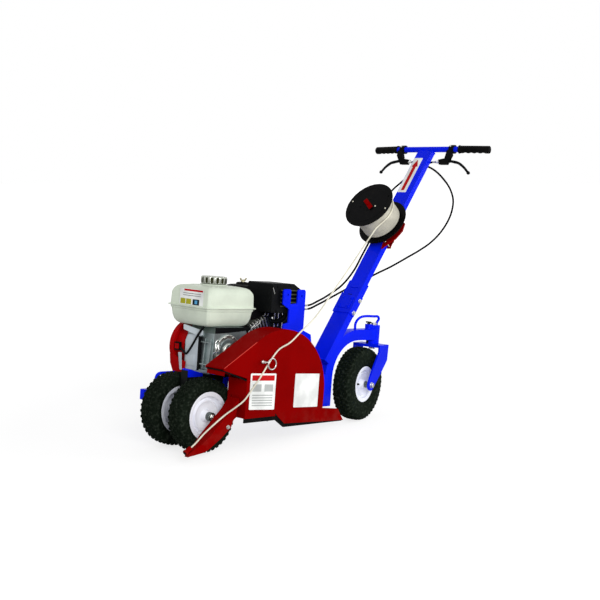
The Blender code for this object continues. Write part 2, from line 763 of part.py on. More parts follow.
def build_caster(chassis, finishes):
    """Swivelling fork, its pins and the rear wheel."""
    caster = empty("caster_axis", chassis, (CASTER_X, LINE_Y, 0.0), (0.0, 0.0, CASTER_STEER))
    axle_z = rear_axle_height()
    inside = FORK_INSIDE / 2.0
    outside = inside + FORK_PLATE
    top = crown_top()
    crown_low = top - CROWN_THICKNESS
    crown = block((-0.050, 0.028), (-outside, outside), (crown_low, top))
    disc = turned([(crown_low, 0.040), (top, 0.040)], 16, "Z")
    legs = [prism(fork_leg(axle_z), sign * inside, sign * outside) for sign in (-1.0, 1.0)]
    axle_hole = rod((-CASTER_TRAIL, -0.1, axle_z), (-CASTER_TRAIL, 0.1, axle_z), AXLE_RADIUS + GAP)
    pin_bore = rod((0.0, 0.0, top - 0.05), (0.0, 0.0, top + 0.05), KINGPIN_RADIUS + GAP)
    lock_x = LOCK_PIN_X - CASTER_X
    lock_hole = rod((lock_x, 0.0, top - 0.05), (lock_x, 0.0, top + 0.05), LOCK_PIN_RADIUS + 0.001, 12)
    fork = carved(crown, [disc, *legs], [axle_hole, pin_bore, lock_hole])
    place("caster_fork", fork, finishes["blue_paint"], caster)
    kingpin_profile = [
        (crown_low - GAP - 0.010, 0.014),
        (crown_low - GAP, 0.014),
        (crown_low - GAP, KINGPIN_RADIUS),
        (housing_top() + GAP, KINGPIN_RADIUS),
        (housing_top() + GAP, 0.013),
        (housing_top() + 0.010, 0.013),
    ]
    place("kingpin", turned(kingpin_profile, 12, "Z"), finishes["bright_steel"], caster)
    axle = axle_rod(outside + GAP)
    place("rear_axle", axle, finishes["bright_steel"], caster, (-CASTER_TRAIL, 0.0, axle_z))
    spot = (-CASTER_TRAIL, 0.0, axle_z)
    tyre = ribbed_tyre(REAR_TYRE_RADIUS, REAR_TYRE_WIDTH, REAR_RIM_RADIUS, 28)
    place("rear_tyre", tyre, finishes["tyre_rubber"], caster, spot, (0.0, -PITCH, 0.0))
    rim = dished_rim(REAR_RIM_RADIUS, REAR_TYRE_WIDTH)
    place("rear_rim", rim, finishes["white_rim"], caster, spot, (0.0, -PITCH, 0.0))
    build_lock_pin(chassis, finishes)


def build_lock_pin(chassis, finishes):
    """The T pin that drops into the fork's crown to hold the wheel straight."""
    handle_z = lug_top() + LOCK_HANDLE_RISE
    stem = rod((0.0, 0.0, crown_top() + RUNNING_GAP), (0.0, 0.0, handle_z), LOCK_PIN_RADIUS, 12)
    handle = rod((0.0, -0.014, handle_z), (0.0, 0.014, handle_z), 0.0035, 10)
    collar = turned([(lug_top() + GAP, 0.007), (lug_top() + 0.004, 0.007)], 12, "Z")
    pin = carved(stem, [handle, collar])
    place("lock_pin", pin, finishes["bright_steel"], chassis, (LOCK_PIN_X, LINE_Y, 0.0))


def clamp_bolt_heights():
    """Places of the two cross bolts along the column."""
    return CLAMP_LOW + 0.014, CLAMP_HIGH - 0.020


def clamp_bolt_hole(height):
    """A cross hole for one clamp bolt."""
    return rod((0.004, -0.1, height), (0.004, 0.1, height), CLAMP_BOLT_RADIUS + GAP, 12)


def build_column(column, finishes):
    """Hollow column tube, and the bolted clamp round its socket."""
    x = COLUMN_DEPTH / 2.0
    y = COLUMN_WIDTH / 2.0
    top = COLUMN_LENGTH - BAR_RADIUS - GAP
    outside = block((-x, x), (-y, y), (GAP, top))
    wall = COLUMN_WALL
    inside = block((wall - x, x - wall), (wall - y, y - wall), (-0.01, top + 0.01))
    holes = [clamp_bolt_hole(height) for height in clamp_bolt_heights()]
    place("column_tube", carved(outside, (), [inside, *holes]), finishes["blue_paint"], column)
    inner_x = SLEEVE_DEPTH / 2.0 + GAP
    inner_y = SLEEVE_WIDTH / 2.0 + GAP
    clamp = block((-inner_x - CLAMP_WALL, inner_x - 0.002), (-inner_y - CLAMP_WALL, inner_y + CLAMP_WALL),
                  (CLAMP_LOW, CLAMP_HIGH))
    room = block((-inner_x, 0.1), (-inner_y, inner_y), (0.0, 0.4))
    holes = [clamp_bolt_hole(height) for height in clamp_bolt_heights()]
    place("column_clamp", carved(clamp, (), [room, *holes]), finishes["blue_paint"], column)
    half = inner_y + CLAMP_WALL + GAP
    for name, height in zip(("lower", "upper"), clamp_bolt_heights()):
        profile = [(-half - 0.006, 0.009), (-half, 0.009), (-half, CLAMP_BOLT_RADIUS)]
        profile += [(half, CLAMP_BOLT_RADIUS), (half, 0.009), (half + 0.007, 0.009)]
        bolt = turned(profile, 12)
        place("clamp_bolt_" + name, bolt, finishes["bright_steel"], column, (0.004, 0.0, height))


def bar_top():
    """Middle of the handlebar in the chassis frame."""
    return column_frame_matrix() @ Vector((0.0, 0.0, COLUMN_LENGTH))


def build_handlebar(chassis, finishes):
    """The bar across the column's top, its ends swept back, and two grips."""
    centre = bar_top()
    sweep = math.radians(BAR_SWEEP)
    reach = (BAR_HALF - BAR_STRAIGHT) / math.cos(sweep)
    route = []
    for sign, order in ((-1.0, 1), (1.0, -1)):
        side = []
        end_x = reach * math.sin(sweep)
        side.append((centre.x + end_x, centre.y + sign * BAR_HALF, centre.z))
        side.append((centre.x + 0.0016, centre.y + sign * (BAR_STRAIGHT + 0.010), centre.z))
        side.append((centre.x, centre.y + sign * (BAR_STRAIGHT - 0.006), centre.z))
        route += side[::order]
    place("handlebar", tube_mesh(route, BAR_RADIUS, 3), finishes["blue_paint"], chassis)
    bore = clear_radius(BAR_RADIUS + GAP, 12)
    for side, sign in (("right", -1.0), ("left", 1.0)):
        profile = [(0.0, bore), (0.0, GRIP_RADIUS + 0.002), (0.006, GRIP_RADIUS + 0.002)]
        for groove in range(3):
            start = 0.020 + groove * 0.038
            profile += [(start, GRIP_RADIUS - 0.0015), (start + 0.019, GRIP_RADIUS + 0.0005)]
        profile += [(GRIP_LENGTH, GRIP_RADIUS - 0.001), (GRIP_LENGTH + 0.004, 0.012)]
        profile += [(GRIP_LENGTH + 0.004, 0.005), (GRIP_LENGTH + GAP, 0.005), (GRIP_LENGTH + GAP, bore)]
        grip = turned(profile, 12, hollow=True)
        if sign < 0.0:
            grip.transform(Matrix.Scale(-1.0, 4, (0.0, 1.0, 0.0)))
            grip.flip_normals()
        start = reach - GRIP_LENGTH
        spot = (
            centre.x + start * math.sin(sweep),
            centre.y + sign * (BAR_STRAIGHT + start * math.cos(sweep)),
            centre.z,
        )
        place("grip_" + side, grip, finishes["grip_rubber"], chassis, spot, (0.0, 0.0, -sign * BAR_SWEEP))


def lever_body():
    """Clamp ring, drop arm and pivot fork of a right hand lever, about the bar's middle."""
    ring_y = (-LEVER_CLAMP_Y - LEVER_CLAMP_WIDTH / 2.0, -LEVER_CLAMP_Y + LEVER_CLAMP_WIDTH / 2.0)
    ring = turned([(ring_y[0], LEVER_CLAMP_RADIUS), (ring_y[1], LEVER_CLAMP_RADIUS)], 20)
    half = 0.009
    low = -LEVER_DROP
    drop = [
        (-LEVER_CLAMP_Y - 0.010, -0.006),
        (-LEVER_CLAMP_Y - 0.014, -0.030),
        (-LEVER_CLAMP_Y + 0.008, low - 0.012),
        (-LEVER_PIVOT_Y + 0.022, low - 0.012),
        (-LEVER_PIVOT_Y + 0.028, low + 0.010),
        (-LEVER_CLAMP_Y + 0.020, low + 0.016),
        (-LEVER_CLAMP_Y + 0.010, -0.006),
    ]
    arm = prism(drop, -LEVER_FORWARD - half, -LEVER_FORWARD + half, "X")
    bridge_y = (ring_y[0] + 0.001, ring_y[1] - 0.001)
    bridge = block((-LEVER_FORWARD - half + 0.0015, 0.0), bridge_y, (-LEVER_CLAMP_RADIUS + 0.001, -0.008))
    barrel_y = -LEVER_PIVOT_Y + 0.027
    barrel = rod((-LEVER_FORWARD, barrel_y - 0.010, low), (-LEVER_FORWARD, barrel_y + 0.020, low), BARREL_RADIUS, 10)
    bore = rod((0.0, -0.3, 0.0), (0.0, 0.3, 0.0), BAR_RADIUS + GAP, 20)
    mouth_x = (-LEVER_FORWARD - LEVER_THICKNESS / 2.0 - RUNNING_GAP, -LEVER_FORWARD + LEVER_THICKNESS / 2.0 + RUNNING_GAP)
    mouth = block(mouth_x, (-LEVER_PIVOT_Y - 0.08, -LEVER_PIVOT_Y + 0.0135), (low - 0.03, low + 0.0205))
    pin = rod((-LEVER_FORWARD - 0.008, -LEVER_PIVOT_Y, low), (-LEVER_FORWARD + 0.008, -LEVER_PIVOT_Y, low),
              LEVER_PIN_RADIUS, 10)
    body = carved(ring, [arm, bridge, barrel], [bore, mouth])
    return carved(body, [pin])


def lever_blade():
    """A curved finger blade of a right hand lever, about its pivot."""
    outline = arc((0.0, 0.0), 0.0095, -70.0, 100.0, 6)
    outline += [(-0.034, 0.0095), (-0.076, 0.001), (-0.104, -0.017), (-0.126, -0.040)]
    outline += arc((-0.131, -0.047), 0.0065, 60.0, 240.0, 4)
    outline += [(-0.112, -0.031), (-0.076, -0.010), (-0.034, -0.002)]
    half = LEVER_THICKNESS / 2.0
    return prism(outline, -half, half, "X")


def build_levers(chassis, finishes):
    """Two hand levers, mirror images on either side of the column."""
    centre = bar_top()
    for side, sign in (("right", 1.0), ("left", -1.0)):
        body = lever_body()
        blade = lever_blade()
        hole = rod((-0.02, 0.0, 0.0), (0.02, 0.0, 0.0), LEVER_PIN_RADIUS + GAP, 10)
        blade = carved(blade, (), [hole])
        if sign < 0.0:
            for mesh in (body, blade):
                mesh.transform(Matrix.Scale(-1.0, 4, (0.0, 1.0, 0.0)))
                mesh.flip_normals()
        place("lever_mount_" + side, body, finishes["black_plastic"], chassis, centre)
        pivot = centre + Vector((-LEVER_FORWARD, -sign * LEVER_PIVOT_Y, -LEVER_DROP))
        place("lever_" + side, blade, finishes["black_plastic"], chassis, pivot)


def build_control_cables(chassis, finishes):
    """The two sheathed cables from the levers to the bracket behind the guard."""
    top = bar_top()
    barrel_x = top.x - LEVER_FORWARD
    barrel_z = top.z - LEVER_DROP
    barrel_y = LEVER_PIVOT_Y - 0.027 - 0.020 - GAP
    left = [
        (barrel_x, LINE_Y + barrel_y, barrel_z),
        (barrel_x, LINE_Y + barrel_y - 0.008, barrel_z),
        (1.166, -0.125, 1.067),
        (1.180, -0.165, 1.056),
        (1.187, -0.212, 1.034),
        (1.204, -0.250, 0.997),
        (1.220, -0.275, 0.958),
        (1.234, -0.286, 0.912),
        (1.232, -0.286, 0.866),
        (1.220, -0.280, 0.822),
        (1.190, -0.265, 0.765),
        (1.142, -0.250, 0.716),
        (1.085, -0.235, 0.678),
        (1.022, -0.220, 0.644),
        (0.935, -0.195, 0.596),
        (0.885, -0.178, 0.571),
        (0.838, -0.158, 0.545),
        (0.795, -0.126, 0.515),
        (0.742, -0.102, 0.482),
        (0.663, -0.103, 0.452),
        (0.580, -0.112, 0.425),
        (0.506, -0.115, 0.405),
        (0.492 + GAP, -0.115, 0.405),
    ]
    right = [
        (barrel_x, LINE_Y - barrel_y, barrel_z),
        (barrel_x, LINE_Y - barrel_y + 0.008, barrel_z),
        (1.162, -0.190, 1.066),
        (1.162, -0.155, 1.052),
        (1.153, -0.122, 1.025),
        (1.125, -0.085, 0.985),
        (1.050, -0.072, 0.922),
        (0.985, -0.090, 0.850),
        (0.930, -0.108, 0.775),
        (0.880, -0.113, 0.700),
        (0.838, -0.111, 0.635),
        (0.800, -0.106, 0.572),
        (0.748, -0.094, 0.510),
        (0.665, -0.095, 0.466),
        (0.580, -0.108, 0.438),
        (0.506, -0.115, 0.420),
        (0.492 + GAP, -0.115, 0.420),
    ]
    for name, route in (("control_cable_left", left), ("control_cable_right", right)):
        curve = tube_curve(smooth_route(route, 0.045), CABLE_RADIUS, 2)
        place(name, curve, finishes["cable_sheath"], chassis)


def spool_bracket_outline():
    """Plate behind the spool: a hub with a wing towards the near side."""
    outline = [(0.036, -0.045), (0.036, 0.036), (-0.036, 0.046), (-0.096, 0.020)]
    outline += [(-0.103, -0.020), (-0.088, -0.062), (-0.062, -0.090), (-0.040, -0.118), (-0.030, -0.060)]
    return [(y, SPOOL_S + z) for y, z in outline]


def build_spool(column, finishes):
    """Bracket, axle, reel, its outer layer of wire and the retaining bar."""
    face = -COLUMN_DEPTH / 2.0 - GAP
    plate_face = face - SPOOL_BRACKET_THICKNESS
    near_end = -SPOOL_OFF - SPOOL_INSIDE / 2.0 - SPOOL_FLANGE
    far_end = -SPOOL_OFF + SPOOL_INSIDE / 2.0 + SPOOL_FLANGE
    centre = (0.0, 0.0, SPOOL_S)
    plate = prism(spool_bracket_outline(), face, plate_face, "X")
    boss = turned([(far_end + GAP, 0.018), (plate_face + 0.002, 0.018)], 16, "X", centre)
    bore = turned([(-0.1, SPOOL_AXLE_RADIUS + GAP), (0.1, SPOOL_AXLE_RADIUS + GAP)], 16, "X", centre)
    place("spool_bracket", carved(plate, [boss], [bore]), finishes["red_paint"], column)
    axle_end = near_end - 0.016
    axle = turned([(axle_end, SPOOL_AXLE_RADIUS), (face - GAP, SPOOL_AXLE_RADIUS)], 16, "X", centre)
    place("spool_axle", axle, finishes["bright_steel"], column)
    bar_x = (near_end - 0.002 - 0.007, near_end - 0.002)
    bar = block(bar_x, (-0.011, 0.011), (SPOOL_S - 0.024, SPOOL_S + 0.024))
    bar_bore = turned([(-0.3, SPOOL_AXLE_RADIUS + GAP), (0.0, SPOOL_AXLE_RADIUS + GAP)], 16, "X", centre)
    place("spool_retainer", carved(bar, (), [bar_bore]), finishes["red_paint"], column)
    build_reel(column, finishes)


def build_reel(column, finishes):
    """The turning reel and the wire wound on it, about the spool's axis."""
    spot = (-SPOOL_OFF, 0.0, SPOOL_S)
    half = SPOOL_INSIDE / 2.0
    bore = SPOOL_AXLE_RADIUS + RUNNING_GAP
    profile = [
        (-half - SPOOL_FLANGE, bore),
        (-half - SPOOL_FLANGE, SPOOL_FLANGE_RADIUS),
        (-half, SPOOL_FLANGE_RADIUS),
        (-half, SPOOL_CORE_RADIUS),
        (half, SPOOL_CORE_RADIUS),
        (half, SPOOL_FLANGE_RADIUS),
        (half + SPOOL_FLANGE, SPOOL_FLANGE_RADIUS),
        (half + SPOOL_FLANGE, bore),
    ]
    reel = turned(profile, 28, "X", hollow=True)
    holes = []
    for angle, distance in ((150.0, 0.094), (-20.0, 0.040), (-30.0, 0.094)):
        across, up = polar(distance, angle)
        holes.append(rod((-half - 0.02, across, up), (-half - SPOOL_FLANGE * 0.4, across, up), 0.004, 8))
    place("wire_spool", carved(reel, (), holes), finishes["black_plastic"], column, spot)
    route = winding_points(half)
    report_least_gap(route)
    place("wire_winding", tube_curve(route, WIRE_RADIUS, 1), finishes["cream_wire"], column, spot)


def winding_radius():
    """Radius of the corners of one loop, whose flats stay clear of the core."""
    return clear_radius(SPOOL_CORE_RADIUS + WIRE_RADIUS + GAP, LOOP_POINTS)


def winding_points(half):
    """One layer of turns about X, as a helix from flange to flange."""
    radius = winding_radius()
    span = 2.0 * (half - WIRE_RADIUS - 0.0006)
    pitch = span / WIRE_LOOPS
    count = WIRE_LOOPS * LOOP_POINTS
    points = []
    for index in range(count + 1):
        across, up = polar(radius, 90.0 + 360.0 * index / LOOP_POINTS)
        along = -span / 2.0 + pitch * index / LOOP_POINTS
        points.append((along, across, up))
    return points


def report_least_gap(points):
    """Print the least gap of the winding to its next turn, on its points."""
    least = min(
        (Vector(points[index]) - Vector(points[index + LOOP_POINTS])).length
        for index in range(len(points) - LOOP_POINTS)
    )
    print("least gap between turns of the winding: %.2f mm" % ((least - 2.0 * WIRE_RADIUS) * 1000.0))


def build_laid_wire(chassis, finishes):
    """The wire from the spool over the guard and down the boot."""
    near = GUARD_NEAR - WIRE_RADIUS - 0.0007
    turn_radius = clear_radius(winding_radius() + 2.0 * WIRE_RADIUS + 0.0008, LOOP_POINTS)
    wound = []
    for step in range(12):
        across, up = polar(turn_radius, 30.0 + 16.0 * step)
        wound.append(column_frame_matrix() @ Vector((-0.119, across, SPOOL_S + up)))
    route = [
        column_frame_matrix() @ Vector((-0.123, -0.060, SPOOL_S - 0.088)),
        (0.752, -0.217, 0.714),
        (0.664, -0.219, 0.618),
        (0.540, -0.226, 0.492),
        (0.424, -0.233, 0.378),
        (0.350, near - 0.001, 0.331),
        (0.289, near, 0.286),
        (0.232, near, 0.262),
        (0.197, near, 0.230),
        (0.172, near, 0.200),
        (0.130, near, 0.146),
        (0.092, near, 0.105),
        (0.060, near, 0.073),
        (0.030, -0.230, 0.050),
        (-0.004, -0.212, 0.021),
        (-0.044, -0.197, -0.015),
        (-0.085, -0.188, -0.050),
        (-0.1230, -0.185, -0.0842),
        (-0.1396 + 0.84 * GAP, -0.185, -0.0949 + 0.543 * GAP),
    ]
    curve = tube_curve(wound + smooth_route(route, 0.050), WIRE_RADIUS, 2)
    place("laid_wire", curve, finishes["cream_wire"], chassis)


def build_wire_eye(chassis, finishes):
    """The round eye and its ball-headed pin that hold the wire to the guard."""
    plane = GUARD_NEAR - 2.0 * WIRE_RADIUS - 0.0040
    centre = (0.192, plane, 0.207)
    tube = 0.0024
    ring = turned([(plane + a, 0.021 + b) for a, b in arc((0.0, 0.0), tube, 0.0, 288.0, 4)], 14,
                  centre=(centre[0], 0.0, centre[2]), hollow=True)
    bar = rod((0.141, plane, 0.217), (0.1725, plane, 0.2113), 0.9 * tube, 8)
    ball = turned([(-0.0055, 0.002), (-0.004, 0.0045), (0.0, 0.006), (0.004, 0.0045), (0.0055, 0.002)], 10,
                  centre=(0.139, plane, 0.217))
    stud = rod((0.152, GUARD_NEAR - GAP, 0.215), (0.152, plane + 0.0003, 0.215), 0.0045, 9)
    place("wire_eye", carved(ring, [bar, ball, stud]), finishes["chrome"], chassis)


def guard_outline():
    """Side view of the guard: hood, dome, skid and front, clockwise from the tip."""
    reach_x = DOME_X - HOOD_TIP_X
    reach_z = DOME_Z - HOOD_TIP_Z
    distance = math.hypot(reach_x, reach_z)
    tangent = math.degrees(math.atan2(reach_z, reach_x) + math.asin(DOME_RADIUS / distance)) + 90.0
    outline = [(HOOD_TIP_X, HOOD_TIP_Z)]
    outline += arc((DOME_X, DOME_Z), DOME_RADIUS, tangent, 0.0, 20)
    rear = DOME_X + DOME_RADIUS
    outline += [(rear - 0.002, SKID_TOP), (rear + 0.7 * SKID_TAIL, SKID_TAIL_TOP)]
    outline += [(rear + SKID_TAIL - 0.002, SKID_TAIL_LOW), (0.292, -0.030)]
    outline += [(0.250, GUARD_FRONT_LOW), (GUARD_FRONT, GUARD_FRONT_LOW)]
    outline += [(GUARD_FRONT, GUARD_FRONT_TOP), (HOOD_TIP_X, HOOD_TIP_Z - 0.007)]
    return outline, tangent


def guard_room(tangent):
    """Side view of the room inside the guard, open below and under the hood."""
    radius = DOME_RADIUS - GUARD_WALL
    start_x, start_z = polar(radius, tangent)
    slope = math.radians(tangent - 90.0)
    back = 0.30
    front_x = DOME_X + start_x - back * math.cos(slope)
    front_z = DOME_Z + start_z - back * math.sin(slope)
    outline = [(front_x, front_z)]
    outline += arc((DOME_X, DOME_Z), radius, tangent, 0.0, 20)
    outline += [(DOME_X + radius - 0.002, -0.10), (GUARD_FRONT + GUARD_WALL, -0.10)]
    outline += [(GUARD_FRONT + GUARD_WALL, GUARD_FRONT_TOP - 0.006), (front_x, GUARD_FRONT_TOP - 0.006)]
    return outline


def build_guard(chassis, finishes):
    """One folded shell over the blade, with a lug for the boot."""
    outline, tangent = guard_outline()
    shell = prism(outline, GUARD_NEAR, GUARD_FAR)
    room = prism(guard_room(tangent), GUARD_NEAR + GUARD_WALL, GUARD_FAR - GUARD_WALL)
    rear = DOME_X + DOME_RADIUS
    behind = block((rear - GUARD_WALL - 0.002, rear + SKID_TAIL + 0.05), (GUARD_NEAR + GUARD_SKID_WALL, 0.0),
                   (-0.10, SKID_TOP + 0.001))
    shaft_hole = rod((ROTOR_X, GUARD_FAR - 0.02, ROTOR_Z), (ROTOR_X, 0.0, ROTOR_Z), SHAFT_RADIUS + 0.004, 20)
    slot = prism([(0.236, 0.010), (0.242, 0.012), (0.258, -0.006), (0.252, -0.009)], -0.30, GUARD_NEAR + 0.01)
    window = block((0.0, GUARD_FRONT + 0.02), (-0.156, -0.150), (0.052, 0.084))
    lug_y = ((BOOT_NEAR + BOOT_FAR) / 2.0 - 0.006, (BOOT_NEAR + BOOT_FAR) / 2.0 + 0.006)
    lug_outline = [(GUARD_FRONT + 0.001, 0.040), (GUARD_FRONT + 0.001, GUARD_FRONT_LOW + 0.001)]
    lug_outline += arc((BOOT_PIVOT_X, BOOT_PIVOT_Z), 0.012, -60.0, -200.0, 6)
    lug = prism(lug_outline, lug_y[0], lug_y[1])
    bolt_hole = rod((BOOT_PIVOT_X, -0.3, BOOT_PIVOT_Z), (BOOT_PIVOT_X, 0.0, BOOT_PIVOT_Z), BOOT_BOLT_RADIUS + GAP, 12)
    guard = carved(shell, (), [room, behind, shaft_hole, slot, window])
    guard = carved(guard, [lug], [bolt_hole])
    place("blade_guard", guard, finishes["red_paint"], chassis)


def blade_outline():
    """A toothed disc: each tooth rises steeply and falls back to the root."""
    points = []
    pitch = 360.0 / BLADE_TEETH
    for tooth in range(BLADE_TEETH):
        start = tooth * pitch
        for turn, share in ((0.0, 0.84), (0.34, 0.84), (0.50, 1.0), (0.72, 1.0), (0.74, 0.84)):
            points.append(polar(share * BLADE_RADIUS, start + turn * pitch))
    return points


def build_rotor(chassis, finishes):
    """Blade, shaft, two bearings and the driven pulley, on the rotor's axis."""
    spot = (ROTOR_X, 0.0, ROTOR_Z)
    middle = (GUARD_NEAR + GUARD_FAR) / 2.0
    bore_radius = SHAFT_RADIUS + GAP
    half = BLADE_THICKNESS / 2.0
    disc = prism(blade_outline(), middle - half, middle + half)
    hub = turned([(middle - 0.016, 0.032), (middle + 0.016, 0.032)], 20)
    bore = rod((0.0, -0.3, 0.0), (0.0, 0.0, 0.0), bore_radius)
    place("trench_blade", carved(disc, [hub], [bore]), finishes["blade_steel"], chassis, spot)
    shaft = turned([(middle - 0.026, SHAFT_RADIUS), (0.004, SHAFT_RADIUS)], 16)
    place("rotor_shaft", shaft, finishes["bright_steel"], chassis, spot)
    running = SHAFT_RADIUS + RUNNING_GAP
    for name, low, high in (
        ("near", GUARD_FAR + GAP, GUARD_FAR + 0.020),
        ("far", HANGER_Y + HANGER_THICKNESS / 2.0 + GAP, HANGER_Y + HANGER_THICKNESS / 2.0 + 0.016),
    ):
        step = low + 0.006
        profile = [(low, running), (low, 0.036), (step, 0.036), (step, 0.026), (high, 0.026), (high, running)]
        bearing = turned(profile, 14, hollow=True)
        place("shaft_bearing_" + name, bearing, finishes["bright_steel"], chassis, spot)
    pulley = grooved_pulley(DRIVEN_PULLEY_RADIUS, SHAFT_RADIUS)
    place("driven_pulley", pulley, finishes["blade_steel"], chassis, (ROTOR_X, BELT_Y, ROTOR_Z))


def grooved_pulley(radius, shaft_radius):
    """A flanged pulley about Y, bored for its shaft."""
    half = PULLEY_WIDTH / 2.0
    groove = BELT_WIDTH / 2.0 + GAP
    floor = radius - PULLEY_LIP
    bore = shaft_radius + GAP
    profile = [(-half, bore), (-half, radius), (-groove, radius), (-groove, floor)]
    profile += [(groove, floor), (groove, radius), (half, radius), (half, bore)]
    return turned(profile, 16, hollow=True)


def belt_outline(extra):
    """Outline round both pulleys, extra beyond their groove floors."""
    small = DRIVE_PULLEY_RADIUS - PULLEY_LIP + extra
    large = DRIVEN_PULLEY_RADIUS - PULLEY_LIP + extra
    run = (ROTOR_X - CRANK_X, ROTOR_Z - CRANK_Z)
    distance = math.hypot(*run)
    heading = math.degrees(math.atan2(run[1], run[0]))
    wrap = math.degrees(math.acos((small - large) / distance))
    outline = arc((CRANK_X, CRANK_Z), small, heading + wrap, heading + 360.0 - wrap, 10)
    outline += arc((ROTOR_X, ROTOR_Z), large, heading - wrap, heading + wrap, 14)
    return outline


def build_drive(chassis, finishes):
    """Crankshaft, its pulley and the belt down to the rotor."""
    shaft = turned([(BELT_Y - PULLEY_WIDTH / 2.0 - 0.004, CRANK_RADIUS), (CASE_FAR + 0.006, CRANK_RADIUS)], 16)
    place("crankshaft", shaft, finishes["bright_steel"], chassis, (CRANK_X, 0.0, CRANK_Z))
    pulley = grooved_pulley(DRIVE_PULLEY_RADIUS, CRANK_RADIUS)
    place("drive_pulley", pulley, finishes["blade_steel"], chassis, (CRANK_X, BELT_Y, CRANK_Z))
    low = BELT_Y - BELT_WIDTH / 2.0
    high = BELT_Y + BELT_WIDTH / 2.0
    outer = belt_outline(2.0 * GAP + BELT_THICKNESS)
    inner = belt_outline(2.0 * GAP)
    place("drive_belt", ring_prism(outer, inner, low, high), finishes["belt_rubber"], chassis)


def on_cylinder(along, across):
    """A point in side view given along and across the sloping cylinder."""
    tilt = math.radians(CYLINDER_TILT)
    return (
        CYLINDER_X + along * math.cos(tilt) - across * math.sin(tilt),
        CYLINDER_Z + along * math.sin(tilt) + across * math.cos(tilt),
    )


def build_crankcase(chassis, finishes):
    """The engine block on its base flange, bored for the crankshaft."""
    base = DECK_TOP + GAP
    top = TANK_BOTTOM - GAP
    outline = [(0.062, base), (0.300, base), (0.300, base + 0.012), (0.268, base + 0.016)]
    outline += [on_cylinder(0.0, -0.055), on_cylinder(0.0, 0.052), (0.230, top), (0.100, top)]
    outline += [(0.075, 0.300), (0.070, base + 0.016), (0.062, base + 0.012)]
    case = prism(outline, CASE_NEAR, CASE_FAR)
    boss = turned([(CASE_NEAR - 0.010, 0.046), (CASE_NEAR + 0.002, 0.052)], 24, centre=(CRANK_X, 0.0, CRANK_Z))
    plate_outline = [(0.020, 0.284), (0.108, 0.302), (0.108, 0.318), (0.020, 0.300)]
    plate = prism(plate_outline, 0.058, 0.078, "X")
    bore = rod((CRANK_X, -0.2, CRANK_Z), (CRANK_X, 0.2, CRANK_Z), CRANK_RADIUS + RUNNING_GAP)
    place("crankcase", carved(case, [boss, plate], [bore]), finishes["cast_aluminium"], chassis)


def build_cylinder(chassis, finishes):
    """Finned cylinder and its head cover, sloping up to the rear."""
    core = 0.040
    fin = 0.055
    upper = [(GAP, core), (0.045, core)]
    for index in range(6):
        start = 0.045 + index * 0.015
        tip = min(start + 0.006, CYLINDER_LENGTH)
        upper += [(start, fin), (tip, fin), (tip, core), (start + 0.015, core)]
    upper = [point for point in upper if point[0] <= CYLINDER_LENGTH]
    outline = [on_cylinder(along, across) for along, across in upper]
    outline += [on_cylinder(along, -across) for along, across in reversed(upper)]
    place("cylinder", prism(outline, CASE_NEAR + 0.008, CASE_FAR - 0.020), finishes["cast_aluminium"], chassis)
    start = CYLINDER_LENGTH + GAP
    end = CYLINDER_LENGTH + HEAD_LENGTH
    cover = [(start, -0.046), (end - 0.012, -0.046), (end, -0.034), (end, 0.034), (end - 0.012, 0.046), (start, 0.046)]
    cover = [on_cylinder(along, across) for along, across in cover]
    place("head_cover", prism(cover, CASE_NEAR + 0.014, CASE_FAR - 0.026), finishes["cast_aluminium"], chassis)


def tank_sections():
    """Heights and insets of the tank's rounded sections, bottom to top."""
    return [
        (TANK_BOTTOM, 0.030),
        (TANK_BOTTOM + 0.006, 0.016),
        (TANK_BOTTOM + 0.030, 0.004),
        (TANK_SEAM, 0.0),
        (TANK_TOP - 0.040, 0.003),
        (TANK_TOP - 0.016, 0.012),
        (TANK_TOP - 0.005, 0.024),
        (TANK_TOP, 0.040),
    ]


def build_tank(chassis, finishes):
    """Pressed tank with a seam flange and a filler neck, and its turning cap."""
    x = (TANK_FRONT, TANK_REAR)
    y = (TANK_NEAR, TANK_FAR)
    body = lofted(tank_sections(), x, y, TANK_CORNER)
    flange = lofted([(TANK_SEAM - 0.002, -TANK_FLANGE), (TANK_SEAM + 0.002, -TANK_FLANGE)], x, y, TANK_CORNER)
    inner_x = (TANK_FRONT + TANK_WALL, TANK_REAR - TANK_WALL)
    inner_y = (TANK_NEAR + TANK_WALL, TANK_FAR - TANK_WALL)
    middle = (TANK_BOTTOM + TANK_TOP) / 2.0
    shrink = 1.0 - 2.0 * TANK_WALL / (TANK_TOP - TANK_BOTTOM)
    sections = [(middle + (height - middle) * shrink, inset) for height, inset in tank_sections()]
    room = lofted(sections, inner_x, inner_y, TANK_CORNER)
    centre = (CAP_X, CAP_Y, 0.0)
    neck_top = TANK_TOP + 0.004
    neck = turned([(TANK_TOP - 0.002, NECK_RADIUS), (neck_top, NECK_RADIUS)], 24, "Z", centre)
    bore = turned([(TANK_TOP - 0.02, NECK_BORE), (neck_top + 0.01, NECK_BORE)], 24, "Z", centre)
    tank = carved(body, [flange, neck], [room, bore])
    place("fuel_tank", tank, finishes["cream_paint"], chassis)
    plug = NECK_BORE - GAP
    profile = [
        (TANK_TOP - 0.006, plug),
        (neck_top + GAP, plug),
        (neck_top + GAP, CAP_RADIUS - 0.002),
        (neck_top + 0.004, CAP_RADIUS),
        (neck_top + CAP_HEIGHT - 0.006, CAP_RADIUS - 0.001),
        (neck_top + CAP_HEIGHT, CAP_RADIUS - 0.010),
    ]
    place("fuel_cap", turned(profile, 18, "Z"), finishes["chrome"], chassis, centre)


